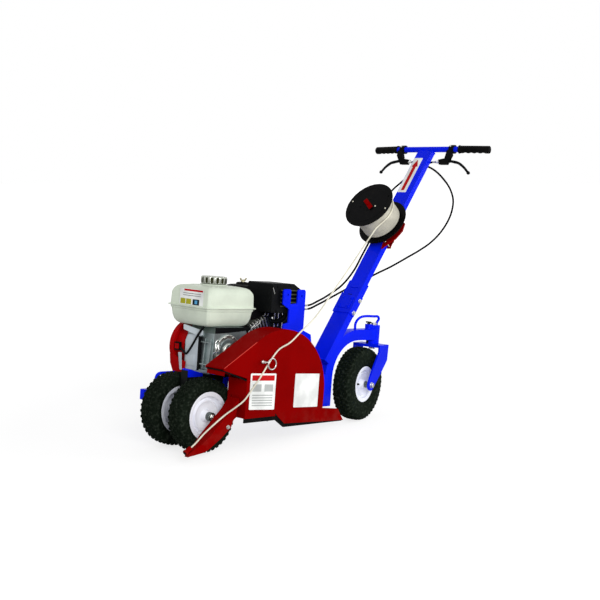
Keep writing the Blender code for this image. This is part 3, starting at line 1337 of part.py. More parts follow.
def build_recoil(chassis, finishes):
    """The starter's cup-shaped shroud on the far side, and its pull grip."""
    start = CASE_FAR + GAP
    end = start + RECOIL_DEPTH
    outer = RECOIL_RADIUS
    inner = RECOIL_RADIUS - RECOIL_WALL
    profile = [
        (start, outer),
        (end - 0.018, outer),
        (end - 0.006, outer - 0.016),
        (end, outer - 0.050),
        (end, 0.004),
        (end - RECOIL_WALL, 0.004),
        (end - RECOIL_WALL, outer - 0.052),
        (end - 0.009, inner - 0.016),
        (end - 0.020, inner),
        (start, inner),
    ]
    rope_y = start + 0.034
    rope_hole = rod((0.0, rope_y, 0.0), (0.2, rope_y, 0.0), ROPE_RADIUS + RUNNING_GAP, 8)
    shroud = carved(turned(profile, 20, hollow=True), (), [rope_hole])
    place("recoil_shroud", shroud, finishes["red_shroud"], chassis, (CRANK_X, 0.0, CRANK_Z))
    rope = rod((-ROPE_LENGTH, 0.0, 0.0), (0.008, 0.0, 0.0), ROPE_RADIUS, 8)
    stem = rod((0.0, 0.0, 0.0), (0.010, 0.0, 0.0), 0.006, 12)
    bar = rod((0.014, 0.0, -0.026), (0.014, 0.0, 0.026), 0.009, 12)
    spot = (CRANK_X + outer + GAP, rope_y, CRANK_Z)
    place("recoil_grip", carved(bar, [stem, rope]), finishes["black_plastic"], chassis, spot)


def build_muffler(chassis, finishes):
    """The slotted box over the exhaust, on a flange that sits on the head."""
    slope = 0.032
    outline = [
        (MUFFLER_FRONT, MUFFLER_BOTTOM),
        (MUFFLER_REAR, MUFFLER_BOTTOM),
        (MUFFLER_REAR, MUFFLER_TOP - slope),
        (MUFFLER_REAR - 1.9 * slope, MUFFLER_TOP),
        (MUFFLER_FRONT + 0.004, MUFFLER_TOP),
        (MUFFLER_FRONT, MUFFLER_TOP - 0.004),
    ]
    box = prism(outline, MUFFLER_NEAR, MUFFLER_FAR)
    wall = MUFFLER_WALL
    inner = [
        (MUFFLER_FRONT + wall, MUFFLER_BOTTOM + wall),
        (MUFFLER_REAR - wall, MUFFLER_BOTTOM + wall),
        (MUFFLER_REAR - wall, MUFFLER_TOP - slope - 0.6 * wall),
        (MUFFLER_REAR - 1.9 * slope - 0.6 * wall, MUFFLER_TOP - wall),
        (MUFFLER_FRONT + wall, MUFFLER_TOP - wall),
    ]
    room = prism(inner, MUFFLER_NEAR + wall, MUFFLER_FAR - wall)
    slots = []
    for row in range(5):
        height = MUFFLER_BOTTOM + 0.018 + row * 0.016
        slots.append(block((MUFFLER_REAR - 0.100, MUFFLER_REAR - 0.015), (MUFFLER_NEAR - 0.01, MUFFLER_NEAR + 0.01),
                           (height, height + 0.006)))
    foot_outline = [on_cylinder(along, across) for along, across in (
        (CYLINDER_LENGTH + 0.003, 0.046 + GAP),
        (CYLINDER_LENGTH + 0.027, 0.046 + GAP),
        (CYLINDER_LENGTH + 0.027, 0.062),
        (CYLINDER_LENGTH + 0.003, 0.062),
    )]
    foot = prism(foot_outline, CASE_NEAR + 0.018, MUFFLER_FAR - 0.010)
    place("muffler", carved(box, [foot], [room, *slots]), finishes["black_plastic"], chassis)


def build_intake(chassis, finishes):
    """Carburettor, air cleaner and the wing nut that holds its cover."""
    low = [on_cylinder(0.066, 0.055 + GAP), on_cylinder(0.108, 0.055 + GAP)]
    top = 0.402
    outline = [low[0], low[1], (low[1][0], top), (low[0][0], top)]
    near = MUFFLER_FAR + 0.006
    far = CASE_FAR - 0.022
    place("carburettor", prism(outline, near, far), finishes["cast_aluminium"], chassis)
    x = (0.292, 0.412)
    y = (near, 0.170)
    base = top + GAP
    sections = [(base, 0.004), (base + 0.008, 0.0), (base + 0.070, 0.0), (base + 0.080, 0.006), (base + 0.084, 0.014)]
    cleaner = lofted(sections, x, y, 0.030)
    centre = (sum(x) / 2.0, sum(y) / 2.0, 0.0)
    place("air_cleaner", cleaner, finishes["black_plastic"], chassis)
    start = base + 0.084 + GAP
    hub = turned([(start, 0.008), (start + 0.010, 0.006)], 10, "Z")
    wing_outline = [(-0.018, start + 0.005), (0.018, start + 0.005), (0.020, start + 0.018)]
    wing_outline += [(0.012, start + 0.016), (0.004, start + 0.009), (-0.004, start + 0.009)]
    wing_outline += [(-0.012, start + 0.016), (-0.020, start + 0.018)]
    wings = prism(wing_outline, -0.002, 0.002)
    place("air_cleaner_nut", carved(hub, [wings]), finishes["chrome"], chassis, centre)


def build_switch(chassis, finishes):
    """The stop switch on the shroud's front rim: a box and its rocker."""
    face = CRANK_X - RECOIL_RADIUS - GAP
    y = (CASE_FAR + 0.012, CASE_FAR + 0.042)
    box = block((face - 0.012, face), y, (CRANK_Z - 0.016, CRANK_Z + 0.016))
    pocket = block((face - 0.020, face - 0.007), (y[0] + 0.004, y[1] - 0.004), (CRANK_Z - 0.011, CRANK_Z + 0.011))
    place("switch_box", carved(box, (), [pocket]), finishes["black_plastic"], chassis)
    inset = 0.0045
    outline = [(-0.0045, -0.0102), (-0.0045, 0.0102), (0.004, 0.0102), (0.0005, 0.0), (0.002, -0.0102)]
    rocker = prism([(-a - 0.0003, b) for a, b in outline], y[0] + inset, y[1] - inset)
    place("switch_rocker", rocker, finishes["red_shroud"], chassis, (face - 0.0125, 0.0, CRANK_Z))


def build_cable_bracket(chassis, finishes):
    """The upright plate with two prongs where the control cables end."""
    foot = DECK_TOP + GAP
    outline = [
        (0.395, foot),
        (0.520, foot),
        (0.548, 0.262),
        (0.540, 0.300),
        (0.492, 0.318),
        (0.492, 0.476),
        (0.486, 0.484),
        (0.450, 0.484),
        (0.445, 0.478),
        (0.445, 0.428),
        (0.405, 0.424),
        (0.405, 0.478),
        (0.400, 0.484),
        (0.368, 0.484),
        (0.362, 0.478),
        (0.362, 0.424),
        (0.400, 0.404),
        (0.400, 0.350),
        (0.372, 0.344),
        (0.372, 0.300),
    ]
    near = -0.118
    plate = prism(outline, near, near + 0.006)
    base = block((0.395, 0.520), (near, DECK_NEAR + 0.015), (foot, foot + 0.006))
    holes = []
    for x, z, radius in ((0.388, 0.462, 0.004), (0.470, 0.458, 0.004), (0.505, 0.285, 0.006)):
        holes.append(rod((x, -0.2, z), (x, 0.0, z), radius, 10))
    place("cable_bracket", carved(plate, [base], holes), finishes["blue_paint"], chassis)


def build_boot(chassis, finishes):
    """The trailing boot: a tapered channel that ends in a short tube."""
    pivot = Vector((BOOT_PIVOT_X, 0.0, BOOT_PIVOT_Z))
    back = [(0.060, 0.078), (0.024, 0.034), (-0.104, -0.082), (-0.152, -0.113)]
    low = [(-0.158, -0.126), (-0.093, -0.113), (-0.016, -0.066), (0.014, -0.042), (0.030, -0.030), (0.066, 0.060)]
    outline = [(x - pivot.x, z - pivot.z) for x, z in back + low]
    body = prism(outline, BOOT_NEAR, BOOT_FAR)
    room = [(0.058, 0.070), (0.027, 0.028), (-0.100, -0.087), (-0.135, -0.110), (-0.135, -0.20), (0.10, -0.20), (0.10, 0.070)]
    room = [(x - pivot.x, z - pivot.z) for x, z in room]
    inside = prism(room, BOOT_NEAR + BOOT_WALL, BOOT_FAR - BOOT_WALL)
    middle = (BOOT_NEAR + BOOT_FAR) / 2.0
    tip = Vector((-0.1396, middle, -0.0949)) - pivot
    end = Vector((-0.1648, middle, -0.1112)) - pivot
    tube = rod(tip, end, 0.009, 12)
    hole = rod(tip + (tip - end), end + (end - tip), WIRE_RADIUS - 0.0006, 10)
    trims = []
    for side, start in ((-1.0, BOOT_NEAR), (1.0, BOOT_FAR)):
        edge = middle + side * 0.010
        wedge = [(start + side * 0.01, -0.16), (start + side * 0.01, -0.06), (start, -0.075), (edge, -0.142), (edge, -0.16)]
        trims.append(prism([(x - pivot.x, y) for y, x in wedge], -0.2, 0.2, "Z"))
    bolt_hole = rod((0.0, -0.3, 0.0), (0.0, 0.0, 0.0), BOOT_BOLT_RADIUS + GAP, 12)
    boot = carved(body, (), [*trims])
    boot = carved(boot, [tube], [inside, hole, bolt_hole])
    place("plow_boot", boot, finishes["red_paint"], chassis, pivot)
    low_end = BOOT_NEAR - GAP
    high_end = BOOT_FAR + GAP
    profile = [(low_end - 0.006, 0.009), (low_end, 0.009), (low_end, BOOT_BOLT_RADIUS)]
    profile += [(high_end, BOOT_BOLT_RADIUS), (high_end, 0.009), (high_end + 0.007, 0.009)]
    place("boot_bolt", turned(profile, 12), finishes["bright_steel"], chassis, pivot)


def centre_on_floor(machine):
    """Shift the machine so that its box stands centred on the origin."""
    bpy.context.view_layer.update()
    graph = bpy.context.evaluated_depsgraph_get()
    low = Vector((1e9, 1e9, 1e9))
    high = -low
    for piece in bpy.context.scene.objects:
        if piece.type not in {"MESH", "CURVE"} or piece.hide_render:
            continue
        solid = piece.evaluated_get(graph)
        mesh = solid.to_mesh()
        for vertex in mesh.vertices:
            spot = solid.matrix_world @ vertex.co
            low = Vector(map(min, low, spot))
            high = Vector(map(max, high, spot))
        solid.to_mesh_clear()
    machine.location = (-(low.x + high.x) / 2.0, -(low.y + high.y) / 2.0, -low.z)


def build_machine():
    """Every piece of the machine, in its own object."""
    for leftover in list(bpy.data.objects):
        bpy.data.objects.remove(leftover)
    finishes = make_finishes()
    machine = empty("machine", None, (0.0, 0.0, 0.0))
    chassis = empty("chassis", machine, (0.0, 0.0, FRONT_TYRE_RADIUS), (0.0, PITCH, 0.0))
    column = empty("column", chassis, (COLUMN_X, LINE_Y, COLUMN_Z), (0.0, COLUMN_RAKE, 0.0))
    build_front_wheels(chassis, finishes)
    build_main_frame(chassis, finishes)
    build_rear_arm(chassis, finishes)
    build_carry_handle(chassis, finishes)
    build_caster(chassis, finishes)
    build_column(column, finishes)
    build_handlebar(chassis, finishes)
    build_levers(chassis, finishes)
    build_control_cables(chassis, finishes)
    build_spool(column, finishes)
    build_laid_wire(chassis, finishes)
    build_wire_eye(chassis, finishes)
    build_guard(chassis, finishes)
    build_rotor(chassis, finishes)
    build_drive(chassis, finishes)
    build_crankcase(chassis, finishes)
    build_cylinder(chassis, finishes)
    build_tank(chassis, finishes)
    build_recoil(chassis, finishes)
    build_muffler(chassis, finishes)
    build_intake(chassis, finishes)
    build_switch(chassis, finishes)
    build_cable_bracket(chassis, finishes)
    build_boot(chassis, finishes)
    centre_on_floor(machine)


build_machine()
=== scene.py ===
# %% [markdown]
# A walk-behind cable plow cuts a slot with a guarded rotor and lays a wire in it from a spool.
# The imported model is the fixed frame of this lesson: metres, +X from the front wheels to the
# handlebar, +Y away from the guard and +Z up. Each cell dresses one piece of the machine, and
# first says what the piece is, how it could be made and why this way was chosen.

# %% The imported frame
import json
import math

import bmesh
import bpy
import numpy as np
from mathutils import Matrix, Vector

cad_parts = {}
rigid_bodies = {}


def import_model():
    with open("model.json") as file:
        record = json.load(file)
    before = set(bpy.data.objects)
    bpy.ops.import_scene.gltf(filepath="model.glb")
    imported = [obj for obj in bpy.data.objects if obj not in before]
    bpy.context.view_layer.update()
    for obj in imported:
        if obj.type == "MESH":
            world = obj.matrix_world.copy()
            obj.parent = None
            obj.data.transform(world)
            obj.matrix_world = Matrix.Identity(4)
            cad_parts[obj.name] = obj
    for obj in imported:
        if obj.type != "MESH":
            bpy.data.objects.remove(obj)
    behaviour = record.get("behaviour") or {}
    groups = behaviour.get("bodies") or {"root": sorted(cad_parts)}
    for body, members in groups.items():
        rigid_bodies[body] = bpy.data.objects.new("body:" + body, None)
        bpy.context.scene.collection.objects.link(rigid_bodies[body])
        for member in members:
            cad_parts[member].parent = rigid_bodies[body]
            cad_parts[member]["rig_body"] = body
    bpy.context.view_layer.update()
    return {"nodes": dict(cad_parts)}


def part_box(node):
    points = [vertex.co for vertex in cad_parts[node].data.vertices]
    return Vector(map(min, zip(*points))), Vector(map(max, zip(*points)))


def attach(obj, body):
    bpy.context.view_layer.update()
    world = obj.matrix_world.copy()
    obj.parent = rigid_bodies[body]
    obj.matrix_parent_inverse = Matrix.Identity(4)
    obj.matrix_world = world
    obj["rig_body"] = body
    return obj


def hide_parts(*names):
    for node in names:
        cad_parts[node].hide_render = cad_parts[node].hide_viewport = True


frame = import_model()

# %% [markdown]
# The photograph was taken from a little above the guard side, near the boot. The camera could be
# aimed at the machine by eye, but a place worked out from the wheels and the column puts every
# piece on its own pixels, so it is written as a point, a heading and a pitch.

# %% The camera
CAMERA_PLACE = (-3.1835, -2.8740, 1.0939)
CAMERA_HEADING = 47.0
CAMERA_PITCH = 7.5
LENS = 63.6


def make_camera():
    """A level camera that looks along its heading from +Y towards +X, and a little down."""
    data = bpy.data.cameras.new("camera")
    data.lens = LENS
    camera = bpy.data.objects.new("camera", data)
    bpy.context.scene.collection.objects.link(camera)
    camera.location = CAMERA_PLACE
    camera.rotation_euler = (math.radians(90.0 - CAMERA_PITCH), 0.0, math.radians(-CAMERA_HEADING))
    bpy.context.scene.camera = camera


make_camera()

# %% [markdown]
# Most pieces are square to the chassis, which is pitched so that its rear end sits low, and the
# reel and handlebar are square to the raked column. Turning each mesh by hand would be slow, so
# three small functions carry points from the chassis, the column or the steered caster to the
# frame. The chassis has its origin in the middle of the front axle.

# %% Frames of the chassis, the column and the caster
PITCH = 6.0
RAKE = 34.1
STEER = 10.0
LINE_Y = -0.165
COLUMN_FOOT = (0.607, LINE_Y, 0.280)
CASTER_FOOT = (0.888, LINE_Y, 0.0)
AXLE_CENTRE = sum((np.array(corner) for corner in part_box("front_axle")), np.zeros(3)) / 2.0


def turn_y(points, degrees):
    """Points turned about +Y: x' = x cos a + z sin a and z' = z cos a - x sin a."""
    points = np.asarray(points, float)
    cosine, sine = math.cos(math.radians(degrees)), math.sin(math.radians(degrees))
    x, y, z = points[..., 0], points[..., 1], points[..., 2]
    return np.stack([x * cosine + z * sine, y, z * cosine - x * sine], axis=-1)


def turn_z(points, degrees):
    """Points turned about +Z: x' = x cos a - y sin a and y' = x sin a + y cos a."""
    points = np.asarray(points, float)
    cosine, sine = math.cos(math.radians(degrees)), math.sin(math.radians(degrees))
    x, y, z = points[..., 0], points[..., 1], points[..., 2]
    return np.stack([x * cosine - y * sine, x * sine + y * cosine, z], axis=-1)


def in_frame(points):
    """Points that are the frame's own already."""
    return points


def chassis(points):
    """Points of the chassis, carried to the frame."""
    return turn_y(points, PITCH) + AXLE_CENTRE


def column(points):
    """Points of the column, whose +Z runs up it from its foot, carried to the frame."""
    return chassis(turn_y(points, RAKE) + np.array(COLUMN_FOOT))


def caster(points):
    """Points of the caster, steered about its pin, carried to the frame."""
    return chassis(turn_z(points, STEER) + np.array(CASTER_FOOT))


# %% [markdown]
# Every new piece is a grid of points worked out at once with numpy: rows along a path or a
# profile, columns round it. A shell is the pair of its points and its faces, so that several
# shells, such as a bolt's head and its washer, can become one piece.

# %% Shells from grids
def shell_of(grid, closed=False):
    """Join neighbours of a (rows, columns, 3) grid into quads, and cap its end rows unless closed."""
    rows, columns = grid.shape[:2]
    index = np.arange(rows * columns).reshape(rows, columns)
    ends = [index[0].tolist()[::-1], index[-1].tolist()]
    index = np.concatenate([index, index[:, :1]], axis=1)
    if closed:
        index = np.concatenate([index, index[:1]], axis=0)
        ends = []
    quads = np.stack([index[:-1, :-1], index[:-1, 1:], index[1:, 1:], index[1:, :-1]], axis=-1)
    return grid.reshape(-1, 3), quads.reshape(-1, 4).tolist() + ends


def moved(shells, *steps):
    """A shell, or each shell of a list, whose points go through the given functions in turn."""
    if isinstance(shells, list):
        return [moved(shell, *steps) for shell in shells]
    points, faces = shells
    for step in steps:
        points = step(points)
    return points, faces


def shift(x=0.0, y=0.0, z=0.0):
    """A function that moves points by a fixed amount."""
    return lambda points: points + np.array([x, y, z])


def circle(steps):
    """Cosine and sine at equal steps round a circle."""
    turn = 2.0 * math.pi * np.arange(steps) / steps
    return np.cos(turn), np.sin(turn)


def turned(profile, steps, axis="Z", ring=False):
    """Turn (along, radius) pairs about an axis. A ring is a closed profile round a bore."""
    profile = np.array(profile, float)
    cosine, sine = circle(steps)
    along = np.repeat(profile[:, :1], steps, axis=1)
    across = profile[:, 1:] * cosine
    up = profile[:, 1:] * sine
    order = {"X": (along, across, up), "Y": (across, along, up), "Z": (across, up, along)}
    return shell_of(np.stack(order[axis], axis=-1), ring)


def rounded_outline(outline, radius, steps=6):
    """A polygon whose corners are arcs that touch both their sides."""
    outline = np.array(outline, float)
    if radius <= 0.0:
        return outline
    back = np.roll(outline, 1, axis=0) - outline
    ahead = np.roll(outline, -1, axis=0) - outline
    back /= np.linalg.norm(back, axis=1)[:, None]
    ahead /= np.linalg.norm(ahead, axis=1)[:, None]
    half = np.arccos(np.clip((back * ahead).sum(axis=1), -1.0, 1.0)) / 2.0
    reach = radius / np.tan(half)
    t = np.linspace(0.0, 1.0, steps)[:, None, None]
    first = outline + back * reach[:, None]
    last = outline + ahead * reach[:, None]
    arcs = first * (1 - t) ** 2 + 2 * outline * t * (1 - t) + last * t ** 2
    return arcs.transpose(1, 0, 2).reshape(-1, 2)


def prism(outline, low, high, axis="Y", radius=0.0, steps=6):
    """Carry a flat outline from low to high along an axis, its corners rounded by a radius."""
    outline = rounded_outline(outline, radius, steps)
    a, b = outline[:, 0], outline[:, 1]
    order = {"X": lambda s: (s, a, b), "Y": lambda s: (a, s, b), "Z": lambda s: (a, b, s)}
    ends = (np.full(len(outline), low), np.full(len(outline), high))
    return shell_of(np.stack([np.stack(order[axis](s), axis=-1) for s in ends]))


def oblong(a, b):
    """The four corners of a rectangle between two limits along each of its axes."""
    return [(a[0], b[0]), (a[1], b[0]), (a[1], b[1]), (a[0], b[1])]


def inward(limits, inset):
    """Two limits moved towards each other."""
    return limits[0] + inset, limits[1] - inset


def block(x, y, z):
    """A box given by its limits along each axis."""
    return prism(oblong(x, z), *y)


def frames_along(path):
    """Two directions square to a path at each point, carried along it without twisting."""
    path = np.asarray(path, float)
    heading = np.gradient(path, axis=0)
    heading /= np.linalg.norm(heading, axis=1)[:, None]
    side = np.cross(heading[0], (0.0, 0.0, 1.0) if abs(heading[0][2]) < 0.9 else (1.0, 0.0, 0.0))
    sides = []
    for direction in heading:
        side = side - direction * side.dot(direction)
        side = side / np.linalg.norm(side)
        sides.append(side)
    sides = np.array(sides)
    return sides, np.cross(heading, sides)


def swept(path, radius, sides=16, closed=False):
    """Carry a circle of a radius, or of one radius for each point, along a path."""
    path = np.asarray(path, float)
    first, second = frames_along(path)
    cosine, sine = circle(sides)
    reach = np.broadcast_to(np.asarray(radius, float), len(path))[:, None, None]
    spokes = first[:, None] * cosine[:, None] + second[:, None] * sine[:, None]
    return shell_of(path[:, None] + spokes * reach, closed)


def smoothed(points, spacing):
    """Read points from a smooth curve through a route whose two end legs are straight.

    Between two route points p and q a cubic runs with the mean of the headings at each of them:
    p(2t^3 - 3t^2 + 1) + m(t^3 - 2t^2 + t) + q(3t^2 - 2t^3) + n(t^3 - t^2).
    """
    route = np.array([np.array(point, float) for point in points])
    legs = np.diff(route, axis=0)
    reach = np.linalg.norm(legs, axis=1)
    along = legs / reach[:, None]
    pieces = [route[:1]]
    last = len(route) - 2
    for index in range(1, last):
        leave = along[index - 1] if index == 1 else along[index - 1] + along[index]
        arrive = along[index + 1] if index == last - 1 else along[index] + along[index + 1]
        leave = leave / np.linalg.norm(leave) * reach[index]
        arrive = arrive / np.linalg.norm(arrive) * reach[index]
        steps = max(1, round(reach[index] / spacing))
        t = (np.arange(steps) / steps)[:, None]
        pieces.append(
            route[index] * (2 * t ** 3 - 3 * t ** 2 + 1)
            + leave * (t ** 3 - 2 * t ** 2 + t)
            + route[index + 1] * (3 * t ** 2 - 2 * t ** 3)
            + arrive * (t ** 3 - t ** 2)
        )
    return np.concatenate([*pieces, route[-2:]])


def evenly(points, spacing):
    """Straight runs between points, read at an even spacing."""
    points = np.asarray(points, float)
    reach = np.concatenate([[0.0], np.cumsum(np.linalg.norm(np.diff(points, axis=0), axis=1))])
    steps = np.linspace(0.0, reach[-1], max(2, round(reach[-1] / spacing)) + 1)
    return np.stack([np.interp(steps, reach, points[:, k]) for k in range(3)], axis=-1)


def bent_rod(route, radius, sides=14, spacing=0.003):
    """A round rod along a smoothed route."""
    return swept(smoothed(route, spacing), radius, sides)


def straight_rod(route, radius, sides=10, spacing=0.004):
    """A round rod in straight runs."""
    return swept(evenly(route, spacing), radius, sides)


# %% [markdown]
# A real edge is never knife sharp, and a rounded edge catches the light. A Bevel modifier with
# an angle limit rounds what is sharp and leaves curved walls alone. Pieces from the solids are
# copied, merged into whole faces and rounded the same way, so their shape stays the solid's.

# %% Pieces
SHARP = math.radians(32.0)


def clean(mesh, inside_out=True):
    """Merge doubled points and, for a new piece, point every face outwards."""
    bm = bmesh.new()
    bm.from_mesh(mesh)
    bmesh.ops.remove_doubles(bm, verts=bm.verts, dist=2e-6)
    bmesh.ops.dissolve_degenerate(bm, edges=bm.edges, dist=1e-7)
    if inside_out:
        bmesh.ops.recalc_face_normals(bm, faces=bm.faces)
    else:
        bmesh.ops.dissolve_limit(bm, angle_limit=math.radians(0.8), verts=bm.verts, edges=bm.edges)
    bm.to_mesh(mesh)
    bm.free()


def settle(name, mesh, finish, body, replaces, bevel, segments):
    """Put a mesh in the scene as a finished piece that rides on its body."""
    mesh.shade_smooth()
    mesh.set_sharp_from_angle(angle=SHARP)
    mesh.materials.clear()
    mesh.materials.append(finish)
    piece = bpy.data.objects.new(name, mesh)
    bpy.context.scene.collection.objects.link(piece)
    if bevel:
        edge = piece.modifiers.new("rounded edges", "BEVEL")
        edge.width = bevel
        edge.segments = segments
        edge.limit_method = "ANGLE"
        edge.angle_limit = SHARP
        edge.harden_normals = True
        edge.use_clamp_overlap = True
    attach(piece, body)
    if replaces:
        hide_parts(replaces)
    print(name, "has", len(mesh.polygons), "faces")
    return piece


def piece_of(name, shells, finish, place=chassis, replaces=None, bevel=0.0, segments=2, body="machine"):
    """One piece made from one shell or several, which its place carries to the frame."""
    points = []
    faces = []
    start = 0
    for shell_points, shell_faces in moved(shells if isinstance(shells, list) else [shells], place):
        points.append(shell_points)
        faces += [[start + corner for corner in face] for face in shell_faces]
        start += len(shell_points)
    mesh = bpy.data.meshes.new(name)
    mesh.from_pydata(np.concatenate(points).tolist(), [], faces)
    clean(mesh)
    return settle(name, mesh, finish, body, replaces, bevel, segments)


def rounded_copy(node, finish, bevel=0.0012, segments=2):
    """The solid itself with whole faces and rounded edges."""
    source = frame["nodes"][node]
    mesh = source.data.copy()
    clean(mesh, inside_out=False)
    return settle("rounded_" + node, mesh, finish, source["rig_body"], node, bevel, segments)


def rounded_copies(table):
    """Copies of several solids, from rows of a finish, its slot and the edge of each solid."""
    for finish, slot, edges in table:
        for node, edge in edges.items():
            rounded_copy(node, finish, edge)


# %% [markdown]
# Shader maths reads best as plain sums. A Term wraps one socket and adds a Math node for each
# operator, and a Finish holds a material while it is made: the plain values go straight to the
# shader, and only what varies over the surface is linked.

# %% Terms and finishes
class Term:
    """One number or colour of a material, with arithmetic."""

    def __init__(self, finish, socket):
        self.finish = finish
        self.socket = socket

    def maths(self, operation, first, second):
        return self.finish.node("Math", {"operation": operation}, {0: first, 1: second})

    def __add__(self, other):
        return self.maths("ADD", self, other)

    def __sub__(self, other):
        return self.maths("SUBTRACT", self, other)

    def __rsub__(self, other):
        return self.maths("SUBTRACT", other, self)

    def __mul__(self, other):
        return self.maths("MULTIPLY", self, other)


class Finish:
    """A material being made: plain values on its shader, and one way to add any other node."""

    def __init__(self, name, **plain):
        self.material = bpy.data.materials.new(name)
        self.material.use_nodes = True
        self.tree = self.material.node_tree
        self.shader = self.tree.nodes["Principled BSDF"]
        for socket, value in plain.items():
            self.shader.inputs[socket.replace("_", " ")].default_value = value

    def node(self, kind, settings, sockets, output=0):
        """Add a node, set what it is first and then give its sockets values or links."""
        node = self.tree.nodes.new("ShaderNode" + kind)
        for name, value in settings.items():
            setattr(node, name, value)
        for key, value in sockets.items():
            self.feed(node.inputs[key], value)
        return Term(self, node.outputs[output])

    def feed(self, socket, value):
        if isinstance(value, Term):
            self.tree.links.new(value.socket, socket)
        else:
            socket.default_value = value

    def spot(self):
        """The place of a point in the frame."""
        return self.node("TexCoord", {}, {}, "Object")

    def noise(self, scale, detail):
        """Soft random patches between 0 and 1."""
        return self.node("TexNoise", {}, {"Vector": self.spot(), "Scale": scale, "Detail": detail}, "Fac")

    def height(self):
        """Height above the ground, in metres."""
        return self.node("SeparateXYZ", {}, {0: self.spot()}, "Z")

    def low_corner(self, height, reach, near, far):
        """1 in front of reach, below height and between near and far, in the chassis."""
        heading = math.radians(PITCH)
        up = (math.sin(heading), 0.0, math.cos(heading))
        ahead = (math.cos(heading), 0.0, -math.sin(heading))
        spot = self.spot()
        shares = []
        for axis, limit in ((up, height), (ahead, reach)):
            limit += float(np.dot(AXLE_CENTRE, axis))
            along = self.node("VectorMath", {"operation": "DOT_PRODUCT"}, {0: spot, 1: axis}, "Value")
            shares.append(1.0 - self.band(along, limit - 0.001, limit))
        side = self.node("SeparateXYZ", {}, {0: spot}, "Y") - float(AXLE_CENTRE[1])
        shares.append(self.band(side, near, near + 0.001))
        return shares[0] * shares[1] * shares[2] * (1.0 - self.band(side, far - 0.001, far))

    def band(self, term, low, high):
        """A smooth step from 0 at low to 1 at high."""
        settings = {"interpolation_type": "SMOOTHSTEP"}
        return self.node("MapRange", settings, {"Value": term, "From Min": low, "From Max": high})

    def mix(self, factor, first, second):
        """A colour between two colours."""
        first = first if isinstance(first, Term) else (*first, 1.0)
        second = second if isinstance(second, Term) else (*second, 1.0)
        return self.node("Mix", {"data_type": "RGBA"}, {0: factor, 6: first, 7: second}, 2)

    def colour(self, term):
        self.feed(self.shader.inputs["Base Color"], term)

    def rough(self, term):
        self.feed(self.shader.inputs["Roughness"], term)

    def bump(self, term, distance, strength=1.0):
        """Raise the surface by the term times a distance in metres."""
        bump = self.node("Bump", {}, {"Height": term, "Distance": distance, "Strength": strength})
        self.feed(self.shader.inputs["Normal"], bump)


def scaled(colour, share):
    """A colour made lighter or darker."""
    return tuple(min(1.0, part * share) for part in colour)


# %% [markdown]
# The machine is new but has stood on soil. Its paint is a smooth gloss coat over folded steel:
# a fine orange peel in the gloss, slow patches of tone, a few pale specks, and a thin film of
# dust that thickens towards the ground. One function makes every painted finish.

# %% Painted steel
DUST = (0.30, 0.25, 0.19)
PAINTED_SHADE_BLACK = (0.006, 0.007, 0.007)
SOIL_TOP = 0.16


def painted(name, colour, roughness=0.28, dust=0.30, peel=0.00008, gloss=0.04, shaded_corners=()):
    """Gloss paint: tone patches, specks, dust near the ground and orange peel.

    Its last argument gives low front corners of the chassis, as height, x and two limits of y, that are
    black: painted shade.
    """
    finish = Finish(name, Coat_Roughness=0.08, Coat_Weight=gloss / 2.0, Specular_IOR_Level=gloss)
    patches = finish.band(finish.noise(9.0, 3.0), 0.30, 0.70)
    tone = finish.mix(patches, scaled(colour, 0.90), scaled(colour, 1.05))
    specks = finish.band(finish.noise(210.0, 1.0), 0.735, 0.765) * 0.35
    tone = finish.mix(specks, tone, scaled(colour, 0.55))
    # Painted shade: low front corners of the chassis go black.
    for corner in shaded_corners:
        tone = finish.mix(finish.low_corner(*corner), tone, PAINTED_SHADE_BLACK)
    low = 1.0 - finish.band(finish.height(), 0.01, SOIL_TOP)
    film = low * finish.band(finish.noise(26.0, 4.0), 0.36, 0.72) * dust
    finish.colour(finish.mix(film, tone, DUST))
    smudge = finish.band(finish.noise(14.0, 4.0), 0.35, 0.75)
    finish.rough(smudge * 0.10 + film * 0.9 + roughness)
    finish.bump(finish.noise(420.0, 1.0), peel, 0.6)
    return finish.material


BLUE_TONE = (0.001, 0.014, 0.86)
BLUE = painted("blue paint", BLUE_TONE)
# Low parts of the frame painted black as shade: the strut between the wheels, the deck's front and under its
# near edge.
SHADED_CORNERS = (
    (0.1352, 0.250, -0.134, 0.066),
    (0.170, -0.0270, -0.036, 0.036),
    (0.144, 0.130, -0.134, -0.080),
)
FRAME_BLUE = painted("blue paint with painted shade on the strut", BLUE_TONE, shaded_corners=SHADED_CORNERS)
RED = painted("red paint", (0.225, 0.0002, 0.0002), 0.42, 0.05, gloss=0.008)
# A light red for the hood's fold: painted highlight along the fold.
FOLD_HIGHLIGHT = painted("red fold painted highlight", (0.66, 0.060, 0.045), 0.34, 0.0, gloss=0.04)
CREAM = painted("cream paint", (0.68, 0.75, 0.63), 0.26, 0.0, 0.00004)
RIM_WHITE = painted("white rim paint", (0.88, 0.90, 1.0), 0.34, 0.10)
BLACK_PAINT = painted("black paint", (0.0045, 0.0050, 0.0055), 0.40, 0.06)
SHROUD_RED = painted("red shroud", (0.38, 0.0010, 0.0020), 0.36, 0.05, 0.00006, 0.02)

# %% [markdown]
# Bare metals differ mostly in their grain. Cast aluminium is pale, rough and pitted from the
# sand or the die, turned steel is smooth with faint rings, and chrome is clean and mirror-like.

# %% Bare metals
def metal(name, colour, roughness, grain_scale, grain, stain=0.15):
    """Metal whose tone and gloss vary with its grain, raised by grain metres."""
    finish = Finish(name, Metallic=1.0)
    patches = finish.band(finish.noise(17.0, 4.0), 0.32, 0.72)
    tone = finish.mix(patches, scaled(colour, 1.0 - stain), colour)
    fine = finish.noise(grain_scale, 2.0)
    finish.colour(finish.mix(finish.band(fine, 0.35, 0.75) * 0.4, tone, scaled(colour, 0.70)))
    finish.rough(patches * -0.08 + fine * 0.12 + roughness)
    finish.bump(fine, grain)
    return finish.material


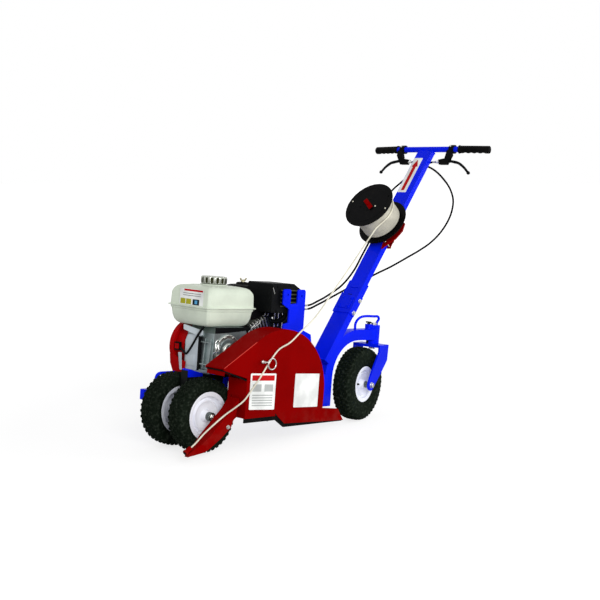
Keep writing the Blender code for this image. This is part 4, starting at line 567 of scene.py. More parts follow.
CAST = metal("cast aluminium", (0.35, 0.41, 0.41), 0.46, 380.0, 0.00012, stain=0.30)
STEEL = metal("bright steel", (0.66, 0.66, 0.63), 0.26, 300.0, 0.00002)
BLADE = metal("blade steel", (0.30, 0.29, 0.28), 0.44, 160.0, 0.00008, stain=0.35)
CHROME = metal("chrome", (0.84, 0.85, 0.83), 0.10, 60.0, 0.00001, stain=0.06)
CAP_CHROME = metal("worn chrome", (0.50, 0.52, 0.46), 0.20, 60.0, 0.00001, stain=0.35)
BRASS = metal("zinc plate", (0.62, 0.58, 0.40), 0.32, 240.0, 0.00003)

# %% [markdown]
# Rubber and plastics are dark and nearly without metal's gloss. The tyres are a green-black
# carbon rubber with grey specks, part dust and part painted highlight, the spool and levers a
# moulded black plastic with a fine texture, and the wire a cream vinyl.

# %% Rubber and plastics
def moulded(name, colour, roughness, texture_scale, texture, dust=0.0, dust_colour=DUST, dust_scale=34.0):
    """Moulded rubber or plastic: a fine skin texture, patches of gloss and a film of dust."""
    finish = Finish(name, Specular_IOR_Level=0.03)
    patches = finish.band(finish.noise(12.0, 3.0), 0.30, 0.70)
    tone = finish.mix(patches, scaled(colour, 0.82), scaled(colour, 1.12))
    film = finish.band(finish.noise(dust_scale, 5.0), 0.45, 0.80) * dust
    finish.colour(finish.mix(film, tone, dust_colour))
    finish.rough(patches * 0.08 + film * 0.5 + roughness)
    finish.bump(finish.noise(texture_scale, 2.0), texture)
    return finish.material


# Grey specks over the tyres: dust, and painted highlight on the lugs.
TYRE_DUST_AND_HIGHLIGHT = (0.060, 0.075, 0.055)
TYRE = moulded("tyre rubber", (0.0045, 0.0080, 0.0045), 0.66, 300.0, 0.00025, 0.45, TYRE_DUST_AND_HIGHLIGHT, 95.0)
BLACK = moulded("black plastic", (0.0035, 0.0035, 0.0040), 0.38, 900.0, 0.00006, 0.02)
SPOOL_BLACK = moulded("spool plastic", (0.0022, 0.0022, 0.0026), 0.24, 500.0, 0.00003, 0.012)
GRIP = moulded("grip rubber", (0.0035, 0.0035, 0.0038), 0.55, 700.0, 0.00012, 0.02)
WIRE = moulded("cream wire", (0.76, 0.73, 0.60), 0.42, 600.0, 0.00003, 0.14, (0.45, 0.41, 0.33))
# The wound wire is a darker copy of the cream wire: painted shade over the winding, under a film of dust.
SHADED_WIRE = moulded("wound wire painted shade", (0.56, 0.54, 0.46), 0.46, 600.0, 0.00003, 0.22, (0.30, 0.28, 0.23))
SHEATH = moulded("cable sheath", (0.003, 0.003, 0.0035), 0.34, 500.0, 0.00003, 0.02)
BELT = moulded("belt rubber", (0.014, 0.014, 0.014), 0.70, 400.0, 0.00012, 0.10)
LABEL = moulded("white label", (0.86, 0.88, 0.86), 0.34, 60.0, 0.00002, 0.05)
LABEL_RED = moulded("red print", (0.50, 0.010, 0.012), 0.34, 60.0, 0.00002)
LABEL_GREY = moulded("grey print", (0.45, 0.47, 0.46), 0.36, 60.0, 0.00002)
LABEL_OLIVE = moulded("olive print", (0.42, 0.40, 0.03), 0.36, 60.0, 0.00002)
LABEL_BLACK = moulded("black print", (0.010, 0.020, 0.030), 0.36, 60.0, 0.00002)
LABEL_BLUE = moulded("blue print", (0.10, 0.36, 0.62), 0.36, 60.0, 0.00002)
# Dark olive for the cap's rib valleys: painted shade.
CAP_SHADE = moulded("cap valleys painted shade", (0.030, 0.032, 0.012), 0.50, 90.0, 0.00001)

# %% [markdown]
# The wire is the machine's one free cord, here a plain piece. It could be a curve with a bevel,
# but a swept tube takes a moulded finish like the winding's, so the route of the solid is repeated
# here and swept finely. It leaves the top of the winding, crosses the guard through the eye and
# runs down the boot.

# %% The laid wire
WIRE_RADIUS = 0.0031
WOUND_TURN = 30.0 + 8.0 * np.arange(23)
CORE_RADIUS = 0.080
SPOOL_HEIGHT = 0.580
GUARD_FACE = -0.235
GAP = 0.0003


def wire_route():
    """The wire's route: part of a turn over the winding, then down to the boot's tip."""
    radius = (CORE_RADIUS + WIRE_RADIUS + GAP) / math.cos(math.pi / 24) + 2 * WIRE_RADIUS + 0.0008
    turn = np.radians(WOUND_TURN)
    wound = [np.full(len(turn), -0.119), radius * np.cos(turn), SPOOL_HEIGHT + radius * np.sin(turn)]
    near = GUARD_FACE - WIRE_RADIUS - 0.0007
    low = [
        (0.752, -0.217, 0.714), (0.664, -0.219, 0.618), (0.540, -0.226, 0.492), (0.424, -0.233, 0.378),
        (0.350, near - 0.001, 0.331), (0.289, near, 0.286), (0.232, near, 0.262), (0.197, near, 0.230),
        (0.172, near, 0.200), (0.130, near, 0.146), (0.092, near, 0.105), (0.060, near, 0.073),
        (0.030, -0.230, 0.050), (-0.004, -0.212, 0.021), (-0.044, -0.197, -0.015), (-0.085, -0.188, -0.050),
        (-0.1230, -0.185, -0.0842), (-0.1396 + 0.84 * GAP, -0.185, -0.0949 + 0.543 * GAP),
    ]
    leave = column([(-0.123, -0.060, SPOOL_HEIGHT - 0.088)])
    return np.concatenate([column(np.column_stack(wound)), smoothed([*leave, *chassis(low)], 0.012)])


def make_laid_wire():
    route = wire_route()
    wire = piece_of("wire_to_boot", swept(route, WIRE_RADIUS, 12), WIRE, in_frame, "laid_wire")


make_laid_wire()

# %% [markdown]
# The two control cables are held by the machine from end to end, so they are plain pieces: a
# black sheath on the solids' route, with a crimped ferrule at each end.

# %% Control cables
CABLE_RADIUS = 0.0042
BAR_MIDDLE = turn_y(np.array([0.0, 0.0, 1.0255]), RAKE) + np.array(COLUMN_FOOT)
LEVER_X = BAR_MIDDLE[0] - 0.0225
LEVER_Z = BAR_MIDDLE[2] - 0.058
BARREL_END = 0.0633
CABLE_END_X = 0.492
CABLE_POINTS = {
    "left": [
        (1.166, -0.125, 1.067), (1.180, -0.165, 1.056), (1.187, -0.212, 1.034), (1.204, -0.250, 0.997),
        (1.220, -0.275, 0.958), (1.234, -0.286, 0.912), (1.232, -0.286, 0.866), (1.220, -0.280, 0.822),
        (1.190, -0.265, 0.765), (1.142, -0.250, 0.716), (1.085, -0.235, 0.678), (1.022, -0.220, 0.644),
        (0.935, -0.195, 0.596), (0.885, -0.178, 0.571), (0.838, -0.158, 0.545), (0.795, -0.126, 0.515),
        (0.742, -0.102, 0.482), (0.663, -0.103, 0.452), (0.580, -0.112, 0.425), (0.506, -0.115, 0.405),
        (CABLE_END_X + GAP, -0.115, 0.405),
    ],
    "right": [
        (1.162, -0.190, 1.066), (1.162, -0.155, 1.052), (1.153, -0.122, 1.025), (1.125, -0.085, 0.985),
        (1.050, -0.072, 0.922), (0.985, -0.090, 0.850), (0.930, -0.108, 0.775), (0.880, -0.113, 0.700),
        (0.838, -0.111, 0.635), (0.800, -0.106, 0.572), (0.748, -0.094, 0.510), (0.665, -0.095, 0.466),
        (0.580, -0.108, 0.438), (0.506, -0.115, 0.420), (CABLE_END_X + GAP, -0.115, 0.420),
    ],
}
HANDS = (("left", 1.0), ("right", -1.0))


def cable_route(side, sign):
    """The chassis points of a cable, from its lever's barrel to the bracket."""
    barrel = [(LEVER_X, LINE_Y + sign * (BARREL_END - GAP - back), LEVER_Z) for back in (0.0, 0.008)]
    return barrel + CABLE_POINTS[side]


def ferrule(start, end, radius, length):
    """A crimped sleeve from the start of a run towards its next point."""
    start, end = np.array(start), np.array(end)
    heading = (end - start) / np.linalg.norm(end - start)
    share = np.linspace(0.0, 1.0, 13)[:, None]
    waist = 1.0 - 0.12 * np.cos(share[:, 0] * 6.0 * math.pi) ** 8
    return swept(start + heading * share * length, radius * waist, 16)


for side, sign in HANDS:
    route = cable_route(side, sign)
    sheath = bent_rod(route, CABLE_RADIUS, spacing=0.012)
    piece_of("sheathed_cable_" + side, sheath, SHEATH, replaces="control_cable_" + side)
    ends = [ferrule(route[0], route[1], 0.0047, 0.014), ferrule(route[-1], route[-2], 0.0047, 0.016)]
    piece_of("cable_ferrules_" + side, ends, STEEL, bevel=0.0004)

# %% [markdown]
# The tyres are low, wide turf tyres. In front small square lugs stand in staggered rows, and
# behind they are finer. The tread could be raised by a bump, but its edge shows against the
# floor, so the lugs are real: round the tyre, rows of the grid rise and fall by half a pitch.

# %% Tyres
FRONT_RADIUS = 0.1425
FRONT_WIDTH = 0.085
FRONT_RIM = 0.0925
FRONT_TRACK = 0.161
REAR_RADIUS = 0.155
REAR_WIDTH = 0.080
REAR_RIM = 0.0765
CASTER_TRAIL = 0.102
REAR_AXLE_Z = 0.09583
LUG_GAP = 0.0013
LUG_SLOPE = 0.0009
CROWN_DROP = 0.010
SIDES = (("near", -1.0), ("far", 1.0))


def tread_lines(half, rows):
    """The y of each grid line over the tread, and the row of lugs it is in, or -1 between rows."""
    edges = np.linspace(-half, half, rows + 1)
    low, high = edges[:-1] + LUG_GAP, edges[1:] - LUG_GAP
    row, none = np.arange(rows), np.full(rows, -1)
    across = np.stack([low, low + LUG_SLOPE, high - LUG_SLOPE, high], axis=-1)
    return across.ravel(), np.stack([none, row, row, none], axis=-1).ravel()


def tread_turns(pairs):
    """The angle of each grid line round the tyre, and its state: 0 or 1 in a lug, -1 between."""
    quarter = 0.25 / pairs
    edge = 0.10 * quarter
    spots = np.array([edge, 3.0 * edge, 2.0 * quarter - 3.0 * edge, 2.0 * quarter - edge])
    turns = np.concatenate([spots, 2.0 * quarter + spots]) + np.arange(pairs)[:, None] / pairs
    return turns.ravel() * 2.0 * math.pi, np.tile([-1, 0, 0, -1, -1, 1, 1, -1], pairs)


def tyre_wall(half, shoulder, rim):
    """The y and the radius of a side, from the tread in to the bead, with two thin ribs."""
    share = np.linspace(0.0, 1.0, 14)[1:]
    bulge = half * (1.0 - 0.09 * np.abs(2.0 * share - 0.62) ** 2.2)
    ribs = 0.0009 * np.exp(-((share - 0.42) / 0.03) ** 2) + 0.0012 * np.exp(-((share - 0.93) / 0.05) ** 2)
    wall = shoulder - 0.004 + (rim - 0.001 - shoulder + 0.004) * share
    return np.append(np.minimum(bulge + ribs, half), half - 0.012), np.append(wall, rim - 0.010)


def knobby_tyre(radius, width, rim, rows, pairs, lug):
    """A tyre about +Y: angle by section, where lugs of neighbouring rows stand half a pitch apart.

    Height over the tread is radius - drop (2y / width)^4, less the lug height between lugs.
    """
    half = width / 2.0
    across, row_of = tread_lines(half - 0.004, rows)
    turns, states = tread_turns(pairs)
    side_y, side_r = tyre_wall(half, radius - CROWN_DROP, rim)
    crown = radius - CROWN_DROP * np.abs(across / half) ** 4
    raised = (row_of[None] >= 0) & (states[:, None] >= 0) & ((row_of[None] + states[:, None]) % 2 == 0)
    tread_r = np.where(raised, crown[None], crown[None] - lug)
    scallop = 0.0016 * np.exp(-((np.arange(len(side_y)) - 0.6) / 1.0) ** 2)
    lift = np.where(states[:, None] == 0, scallop[None], 0.0)
    y = np.concatenate([-side_y[::-1], across, side_y])
    r = np.concatenate([(side_r + lift)[:, ::-1], tread_r, side_r + lift], axis=1)
    y = np.broadcast_to(y, r.shape)
    grid = np.stack([r * np.cos(turns)[:, None], y, r * np.sin(turns)[:, None]], axis=-1)
    return shell_of(grid, closed=True)


def front_wheel_place(sign):
    """The middle of a front wheel in the chassis; sign is -1 on the guard side."""
    return lambda points: chassis(points + np.array([0.0, sign * FRONT_TRACK / 2.0, 0.0]))


def rear_wheel_place(points):
    """The middle of the rear wheel, level and steered with the caster."""
    return caster(turn_y(points, -PITCH) + np.array([-CASTER_TRAIL, 0.0, REAR_AXLE_Z]))


for side, sign in SIDES:
    tyre = knobby_tyre(FRONT_RADIUS, FRONT_WIDTH, FRONT_RIM, 7, 38, 0.0042)
    place, body = front_wheel_place(sign), "front_wheel_" + side
    piece_of("turf_tyre_" + side, tyre, TYRE, place, "front_tyre_" + side, body=body)
tyre = knobby_tyre(REAR_RADIUS, REAR_WIDTH, REAR_RIM, 5, 46, 0.0040)
piece_of("turf_tyre_rear", tyre, TYRE, rear_wheel_place, "rear_tyre", body="rear_wheel")

# %% [markdown]
# Each rim is two pressed halves painted white: a rolled lip, a sloping band, a raised ring and
# a shallow disc round the hub. A turned profile with many steps gives its soft rings, and the
# hub's bearing, the axle's nut and the tyre's valve are pieces of their own.

# %% Rims, hubs and valves
AXLE_RADIUS = 0.008
AXLE_NUT = 0.019
NUT_CHAMFER = 0.0012


def pressed_rim(rim, width):
    """A rim about +Y: its half section from the near hub round the barrel to the far hub."""
    half = width / 2.0
    bead = half - 0.010 + GAP
    seat = rim - 0.0125
    lip = bead + 0.0035
    hub = half - 0.004
    bore = 0.0083
    near = [
        (-hub, bore), (-hub, 0.0175), (-hub + 0.006, 0.0185), (-0.52 * hub, 0.27 * rim),
        (-0.50 * hub, 0.38 * rim), (-0.52 * hub, 0.50 * rim), (-0.62 * hub, 0.575 * rim),
        (-0.68 * hub, 0.60 * rim), (-0.66 * hub, 0.625 * rim), (-0.50 * hub, 0.655 * rim),
        (-0.45 * hub, 0.70 * rim), (-0.60 * hub, 0.78 * rim), (-lip + 0.003, seat - 0.004),
        (-lip + 0.0005, rim - 0.005), (-lip, rim - 0.0015), (-lip + 0.0012, rim),
    ]
    barrel = [(-bead, rim), (-bead, seat), (bead, seat), (bead, rim)]
    far = [
        (lip - 0.0012, rim), (lip, rim - 0.0015), (lip - 0.003, seat - 0.004), (-0.20 * hub, 0.72 * rim),
        (-0.50 * hub, 0.58 * rim), (-0.30 * hub, 0.024), (hub, 0.018), (hub, bore),
    ]
    return turned(near + barrel + far, 96, "Y", ring=True)


def hex_nut(across, thickness, bore):
    """A six-sided nut about +Y, its points turned down, from y = 0 outwards to -thickness."""
    reach = across / math.sqrt(3.0)
    profile = [(0.0, reach), (-thickness + NUT_CHAMFER, reach), (-thickness, reach - NUT_CHAMFER)]
    return turned([*profile, (-thickness, bore), (-thickness * 0.6, bore)], 6, "Y")


def washer(radius, thickness):
    """A thin disc about +Y, from y = 0 outwards."""
    return turned([(0.0, radius), (-thickness + 0.0003, radius), (-thickness, radius - 0.0004)], 40, "Y")


def valve(rim, width, degrees):
    """A rubber valve stem with its cap, leaning out of the sloping band, turned about +Y."""
    low = np.array([0.0, -0.30 * width, 0.80 * rim])
    high = np.array([0.0, -0.48 * width, 0.70 * rim])
    share = np.linspace(0.0, 1.0, 9)
    radius = np.array([0.0052, 0.0050, 0.0046, 0.0042, 0.0042, 0.0042, 0.0036, 0.0038, 0.0034])
    stem = swept(low + (high - low) * share[:, None], radius, 14)
    return moved(stem, lambda points: turn_y(points, degrees))


def mirrored(shell, sign):
    """A shell reflected across y = 0 where sign is positive."""
    return moved(shell, lambda points: points * np.array([1.0, -sign, 1.0]))


def bearing_hub(start, end):
    """A grey hub about +Y from the rim's disc outwards: a sleeve, its seal and a dust lip."""
    profile = [(start, 0.0086), (start, 0.0172), (end + 0.0025, 0.0174), (end + 0.0008, 0.0170)]
    profile += [(end, 0.0160), (end, 0.0150), (end + 0.0014, 0.0146), (end + 0.0014, 0.0120)]
    profile += [(end, 0.0115), (end, 0.0086)]
    return turned(profile, 56, "Y", ring=True)


def axle_with_nuts(half):
    """A round axle with a washer and a nut at each side, about +Y."""
    tip = [(half + 0.0085, AXLE_RADIUS), (half + 0.0095, AXLE_RADIUS - 0.001), (half + 0.0095, 0.0)]
    shells = [turned([(-along, reach) for along, reach in tip[::-1]] + tip, 32, "Y")]
    nut = hex_nut(AXLE_NUT, 0.0075, AXLE_RADIUS - 0.0015)
    ends = [washer(0.0128, 0.0016), moved(nut, shift(y=-0.0017))]
    for side, sign in SIDES:
        shells += mirrored(moved(ends, shift(y=-half)), sign)
    return shells


FRONT_HUB = (-0.0386, -0.0590)
FRONT_AXLE_HALF = FRONT_TRACK / 2.0 - FRONT_HUB[1] + 0.0004
REAR_AXLE_HALF = 0.116 / 2.0 + 0.008 + GAP
HUB_GREY = metal("hub grey", (0.20, 0.23, 0.22), 0.42, 260.0, 0.00006, stain=0.30)
for side, sign in SIDES:
    place, body = front_wheel_place(sign), "front_wheel_" + side
    rim = mirrored(pressed_rim(FRONT_RIM, FRONT_WIDTH), sign)
    node = "front_rim_" + side
    piece_of("pressed_rim_" + side, rim, RIM_WHITE, place, node, 0.0006, body=body)
    stem = mirrored(valve(FRONT_RIM, FRONT_WIDTH, 140.0), sign)
    piece_of("valve_" + side, stem, BLACK, place, body=body)
    hub = mirrored(bearing_hub(*FRONT_HUB), sign)
    piece_of("bearing_hub_" + side, hub, HUB_GREY, place, bevel=0.0004, body=body)
place = rear_wheel_place
rim = pressed_rim(REAR_RIM, REAR_WIDTH)
piece_of("pressed_rim_rear", rim, RIM_WHITE, place, "rear_rim", 0.0006, body="rear_wheel")
stem = valve(REAR_RIM, REAR_WIDTH, -80.0)
piece_of("valve_rear", stem, BLACK, place, body="rear_wheel")
axle = axle_with_nuts(FRONT_AXLE_HALF)
piece_of("axle_and_nuts_front", axle, STEEL, replaces="front_axle", bevel=0.0005)
spacer = turned(oblong((-0.0575, -0.0370), (0.0086, 0.0135)), 36, "Y", ring=True)
spacers = [mirrored(spacer, sign) for side, sign in SIDES]
piece_of("rear_spacers", spacers, HUB_GREY, place, bevel=0.0005, body="caster")
axle = axle_with_nuts(REAR_AXLE_HALF)
piece_of("axle_and_nuts_rear", axle, STEEL, place, "rear_axle", 0.0005, body="caster")

# %% [markdown]
# The folded and welded steel keeps the shape of its solids. Each is copied, merged into whole
# faces and given a rounded edge as wide as the sheet's own bend, so the light runs along it.

# %% Frame, guard and boot
FOLDED = {"rear_arm": 0.0020, "cable_bracket": 0.0010, "column_tube": 0.0030, "column_clamp": 0.0010}
rounded_copies((
    (FRAME_BLUE, "blue_paint", {"main_frame": 0.0014}),
    (BLUE, "blue_paint", {**FOLDED, "caster_fork": 0.0016}),
    (RED, "red_paint", {"blade_guard": 0.0014, "plow_boot": 0.0012, "spool_bracket": 0.0014}),
))

# %% [markdown]
# Screws, nuts and welds repeat all over the machine. Each is drawn once about its own axis and
# then pointed the way it sits, and a weld is a tube whose radius ripples as the bead cooled.

# %% Fasteners and welds
HEADINGS = {
    "+X": ([2, 0, 1], [1.0, 1.0, 1.0]),
    "-X": ([2, 0, 1], [-1.0, -1.0, 1.0]),
    "+Y": ([1, 2, 0], [1.0, 1.0, 1.0]),
    "-Y": ([1, 2, 0], [-1.0, -1.0, 1.0]),
    "+Z": ([0, 1, 2], [1.0, 1.0, 1.0]),
    "-Z": ([0, 1, 2], [1.0, -1.0, -1.0]),
}
THREAD_PITCH = 0.0015


def pointing(heading, place):
    """A function that points a shell's +Z along x, y or z, with its sign, at a place."""
    order, signs = HEADINGS[heading]
    return lambda points: points[:, order] * np.array(signs) + np.array(place)


def hex_head(heading, place, across, height, flange=0.0):
    """A six-sided chamfered head, on a round flange where one is given, pointed from its place."""
    reach = across / math.sqrt(3.0)
    crown = 0.12 * height
    profile = [(0.0, 0.0), (0.0, reach), (height - crown, reach), (height, reach - crown), (height, 0.0)]
    shells = [turned(profile, 6)]
    if flange:
        rim = [(0.0, 0.0), (0.0, flange), (0.0012, flange), (0.0018, flange - 0.0008), (0.0018, 0.0)]
        shells.append(turned(rim, 32))
    return moved(shells, pointing(heading, place))


def threaded(radius, length):
    """A thread drawn as a stack of shallow rings, with a chamfered end."""
    along = np.arange(0.0, length - 0.0015, THREAD_PITCH / 2.0)
    crest = np.where(np.arange(len(along)) % 2 == 0, radius, radius - 0.35 * THREAD_PITCH)
    tip = [(length - 0.001, radius - 0.0004), (length, radius - 0.0014), (length, 0.0)]
    return turned([(0.0, 0.0), *zip(along, crest), *tip], 24)


def weld(points, radius, spacing=0.0012):
    """A fillet of weld along a path: the radius is radius (1 + 0.16 sin(2 pi s / 3.4 mm))."""
    path = evenly(points, spacing)
    reach = np.arange(len(path)) * spacing
    bead = radius * (1.0 + 0.16 * np.sin(2.0 * math.pi * reach / 0.0034) + 0.07 * np.sin(reach * 610.0))
    bead[0] *= 0.6
    bead[-1] *= 0.6
    return swept(path, bead, 10)


def ring_path(radius, steps):
    """Points of a circle in the plane of its first two axes; the last one lies on the first."""
    turn = np.radians(np.linspace(0.0, 360.0, steps))
    return np.stack([radius * np.cos(turn), radius * np.sin(turn), np.zeros(steps)], axis=-1)


# %% [markdown]
# The reel is moulded in one piece: two flanges on a drum. Its solid already has the right holes,
# so it is copied with rounded edges, and a bead that runs round each flange is added. The wire
# lies on it in close turns, swept as one helix, and three stubs show on the near flange.

# %% Reel and its wire
REEL_FLANGE = 0.113
REEL_NEAR = -0.1675
REEL_INNER = (-0.1625, -0.0475)
REEL_FAR = -0.0425
TURNS = 17
TURN_STEPS = 56


def reel_axis(points):
    """Points about the reel's own axis, carried to the column: +Z runs away from the column."""
    return np.stack([-points[..., 2], points[..., 0], points[..., 1] + SPOOL_HEIGHT], axis=-1)


def close_winding():
    """One tube in close turns: x goes from flange to flange, the radius swells by 0.5 mm between."""
    steps = TURNS * TURN_STEPS + 1
    share = np.linspace(0.0, 1.0, steps)
    turn = 2.0 * math.pi * TURNS * share
    room = REEL_INNER[1] - REEL_INNER[0] - 2.0 * WIRE_RADIUS - 2.0 * GAP
    x = REEL_INNER[0] + WIRE_RADIUS + GAP + room * share
    wobble = 0.00035 * np.sin(turn * 0.5 + 3.0 * share) + 0.00025 * np.sin(turn * 3.1)
    radius = CORE_RADIUS + WIRE_RADIUS + 0.0012 + 0.0005 * np.sin(math.pi * share) + wobble
    path = np.stack([x, radius * np.cos(turn), SPOOL_HEIGHT + radius * np.sin(turn)], axis=-1)
    return swept(path, 0.00312, 9)


def under_layer():
    """The layer beneath, seen between the turns as a drum of the same wire."""
    low, high = REEL_INNER[0] + GAP, REEL_INNER[1] - GAP
    x = np.linspace(low, high, 70)
    radius = CORE_RADIUS + 0.0022 + 0.0006 * np.cos(x * 2.0 * math.pi / 0.0064)
    drum = turned([(low, CORE_RADIUS + GAP), *zip(x, radius), (high, CORE_RADIUS + GAP)], 96, "X", ring=True)
    return moved(drum, shift(z=SPOOL_HEIGHT))


def flange_bead(x, radius, thick):
    """A round bead along the edge of a flange."""
    path = ring_path(radius, 97)[:-1]
    return moved(swept(path, thick, 12, closed=True), reel_axis, shift(x=x))


rounded_copy("wire_spool", SPOOL_BLACK)
beads = [flange_bead(x, REEL_FLANGE - 0.0026, 0.0027) for x in (REEL_NEAR + 0.0025, REEL_FAR - 0.0025)]
beads += [flange_bead(REEL_NEAR, 0.0300, 0.0010), flange_bead(REEL_NEAR, 0.0880, 0.0008)]
piece_of("reel_beads", beads, SPOOL_BLACK, column, body="spool")
turns = [close_winding(), under_layer()]
piece_of("close_turns", turns, SHADED_WIRE, column, "wire_winding", body="spool")
WIRE_ENDS = ((0.0938, 0.0131), (-0.0388, -0.0065), (-0.0972, -0.0160))
stub = turned([(-0.0010, 0.0), (-0.0010, 0.0034), (0.0012, 0.0034), (0.0018, 0.0026), (0.0018, 0.0)], 20)
stubs = [moved(stub, pointing("-X", (REEL_NEAR, y, SPOOL_HEIGHT + s))) for y, s in WIRE_ENDS]
piece_of("wire_ends", stubs, WIRE, column, body="spool")
print("the reel holds %d turns in its outer layer" % TURNS)

# %% [markdown]
# The reel turns on a plain axle between the bracket and a red bar held by a cotter. Two plated
# studs pass beside the column and pinch the bracket to it with a flat bar behind.

# %% Reel axle and bolts
REEL_AXLE = (-0.1835, -0.0136)
STUD_Y = -0.0455
STUDS = (0.497, 0.528)
KEEPER_LEAN = 38.0


def reel_axle():
    """The axle with chamfered ends, and the cotter through its outer end."""
    near, far = REEL_AXLE
    radius = AXLE_RADIUS
    profile = [(near, 0.0), (near, radius - 0.001), (near + 0.001, radius), (far - 0.001, radius)]
    rod = turned([*profile, (far, radius - 0.001), (far, 0.0)], 40, "X")
    turn = np.linspace(0.0, 1.0, 12)[:, None]
    start = np.array([near + 0.0035, 0.0, SPOOL_HEIGHT - 0.0105])
    cotter = swept(start + turn * np.array([0.0, 0.0, 0.0210]), 0.0011, 10)
    return [moved(rod, shift(z=SPOOL_HEIGHT)), cotter]


keeper = rounded_outline(oblong((-0.031, 0.031), (-0.0095, 0.0095)), 0.003, 5)
lean = math.radians(KEEPER_LEAN)
keeper = keeper @ np.array([[math.cos(lean), math.sin(lean)], [-math.sin(lean), math.cos(lean)]])
bar = moved(prism(keeper, -0.1765, -0.1695, "X"), shift(z=SPOOL_HEIGHT))
piece_of("reel_keeper", bar, RED, column, "spool_retainer", 0.0010)
piece_of("reel_axle", reel_axle(), RED, column, "spool_axle")
bolts = []
for s in STUDS:
    bolts += hex_head("-X", (-0.0203, STUD_Y, s), 0.0100, 0.0050)
    bolts.append(moved(threaded(0.0032, 0.0480), pointing("+X", (-0.0200, STUD_Y, s))))
    bolts += hex_head("+X", (0.0172, STUD_Y, s), 0.0110, 0.0060, 0.0078)
piece_of("bracket_bolts", bolts, BRASS, column, bevel=0.0003)
clamp = prism(oblong((-0.054, 0.044), (0.487, 0.538)), 0.0132, 0.0171, "X", 0.006, 5)
piece_of("bracket_clamp", clamp, RED, column, bevel=0.0008)

# %% [markdown]
# The handlebar is one bent tube welded across the top of the column. It is swept along a path
# whose bends are arcs, and each end carries a soft grip: a lathe shape whose underside is
# scalloped for four fingers, with fine flutes over the top and a flange at the inner end.

# %% Handlebar and grips
BAR_RADIUS = 0.0127
BAR_HALF = 0.3087
BAR_STRAIGHT = 0.150
BAR_SWEEP = 9.0
BEND_PASSES = 12
GRIP_START = 0.01696
GRIP_LENGTH = 0.146
GRIP_RADIUS = 0.0165
GRIP_FLANGE = 0.0185
GRIP_LIP = ((0.0, -0.0006), (0.0006, 0.0), (0.0030, 0.0), (0.0044, -0.0006), (0.0052, -0.0022))
GRIP_CAP = 0.0040
GRIP_SIDES = 80


def bar_point(reach, side):
    """A point on the bar's axis: straight to the bend, then swept back by nine degrees."""
    beyond = np.maximum(np.asarray(reach, float) - BAR_STRAIGHT, 0.0)
    inner = np.minimum(reach, BAR_STRAIGHT)
    x = beyond * math.sin(math.radians(BAR_SWEEP))
    y = inner + beyond * math.cos(math.radians(BAR_SWEEP))
    return np.stack([BAR_MIDDLE[0] + x, LINE_Y + side * y, np.full_like(x, BAR_MIDDLE[2])], axis=-1)


def handlebar_tube():
    """The bar as a tube about a path through both bends, softened by a running mean."""
    reach = np.linspace(-BAR_HALF, BAR_HALF, 160)
    left, right = bar_point(-np.minimum(reach, 0), -1.0), bar_point(np.maximum(reach, 0), 1.0)
    path = np.where(reach[:, None] < 0, left, right)
    soft = path.copy()
    for _ in range(BEND_PASSES):
        soft[1:-1] = (soft[:-2] + 2.0 * soft[1:-1] + soft[2:]) / 4.0
    return swept(soft, BAR_RADIUS - 0.0001, 36)


def grip_radius(s, turn):
    """The grip's radius r(s, a): four finger hollows below, shallow flutes above, a lip and a cap."""
    body = (s > 0.0048) & (s < GRIP_LENGTH - 0.0100)
    share = np.clip((s - 0.0160) / (GRIP_LENGTH - 0.0340), 0.0, 1.0)
    hollow = 0.0030 * np.sin(4.0 * math.pi * share) ** 2
    below = np.clip(-np.sin(turn), 0.0, 1.0) ** 0.8
    above = np.clip(np.sin(turn + 0.2), 0.0, 1.0)
    flute = 0.00045 * (0.5 + 0.5 * np.cos(20.0 * turn)) * above
    along = np.clip((s - 0.0140) / 0.006, 0.0, 1.0) * np.clip((GRIP_LENGTH - 0.0160 - s) / 0.006, 0.0, 1.0)
    radius = GRIP_RADIUS - (hollow * body)[:, None] * below - along[:, None] * flute
    lip_s, lip_rise = np.array(GRIP_LIP).T
    lip = GRIP_FLANGE + np.interp(s, lip_s, lip_rise)
    radius = np.where((s <= lip_s[-1])[:, None], lip[:, None], radius)
    cap = np.clip((s - GRIP_LENGTH + GRIP_CAP) / GRIP_CAP, 0.0, 1.0)
    return radius * np.sqrt(1.0 - 0.80 * cap ** 2)[:, None]


def finger_grip(side):
    """A grip as rows of points along one end of the bar."""
    end = GRIP_LENGTH - GRIP_CAP
    rounded_end = end + GRIP_CAP * np.sin(np.linspace(0.2, math.pi / 2.0, 6))
    s = np.concatenate([[along for along, rise in GRIP_LIP], np.linspace(0.0060, end, 100), rounded_end])
    turn = 2.0 * math.pi * np.arange(GRIP_SIDES) / GRIP_SIDES
    heading = np.array([math.sin(math.radians(BAR_SWEEP)), side * math.cos(math.radians(BAR_SWEEP)), 0.0])
    up = np.array([0.0, 0.0, 1.0])
    spokes = np.cross(heading, up) * np.cos(turn)[:, None] + up * np.sin(turn)[:, None]
    start = bar_point(BAR_STRAIGHT + GRIP_START, side)
    return shell_of(start + heading * s[:, None, None] + grip_radius(s, turn)[..., None] * spokes)


COLUMN_EDGE = ((-0.0132, -0.0385), (-0.0132, 0.0385), (0.0132, 0.0385), (0.0132, -0.0385), (-0.0132, -0.0385))
piece_of("bent_bar", handlebar_tube(), BLUE, replaces="handlebar", bevel=0.0010)
for side, sign in HANDS:
    piece_of("finger_grip_" + side, finger_grip(sign), GRIP, replaces="grip_" + side)
bead = weld([(x, y, 1.0112) for x, y in COLUMN_EDGE], 0.0022)
screw = turned([(0.0, 0.0), (0.0, 0.0055), (0.0016, 0.0048), (0.0030, 0.0030), (0.0034, 0.0)], 24)
screw = moved(screw, pointing("-X", (-BAR_RADIUS + 0.0004, -0.0175, 1.0255)))
piece_of("bar_weld", [bead, screw], BLUE, column)

# %% [markdown]
# Each lever's clamp is a black casting: a split ring round the bar and an arm down to the
# pivot, with a plated adjuster where the cable leaves. The casting's solid is copied, and the
# clamp screw, the pivot screw and the knurled adjuster are turned pieces.

# %% Levers
LEVER_Y = 0.135
PIVOT_Y = 0.110


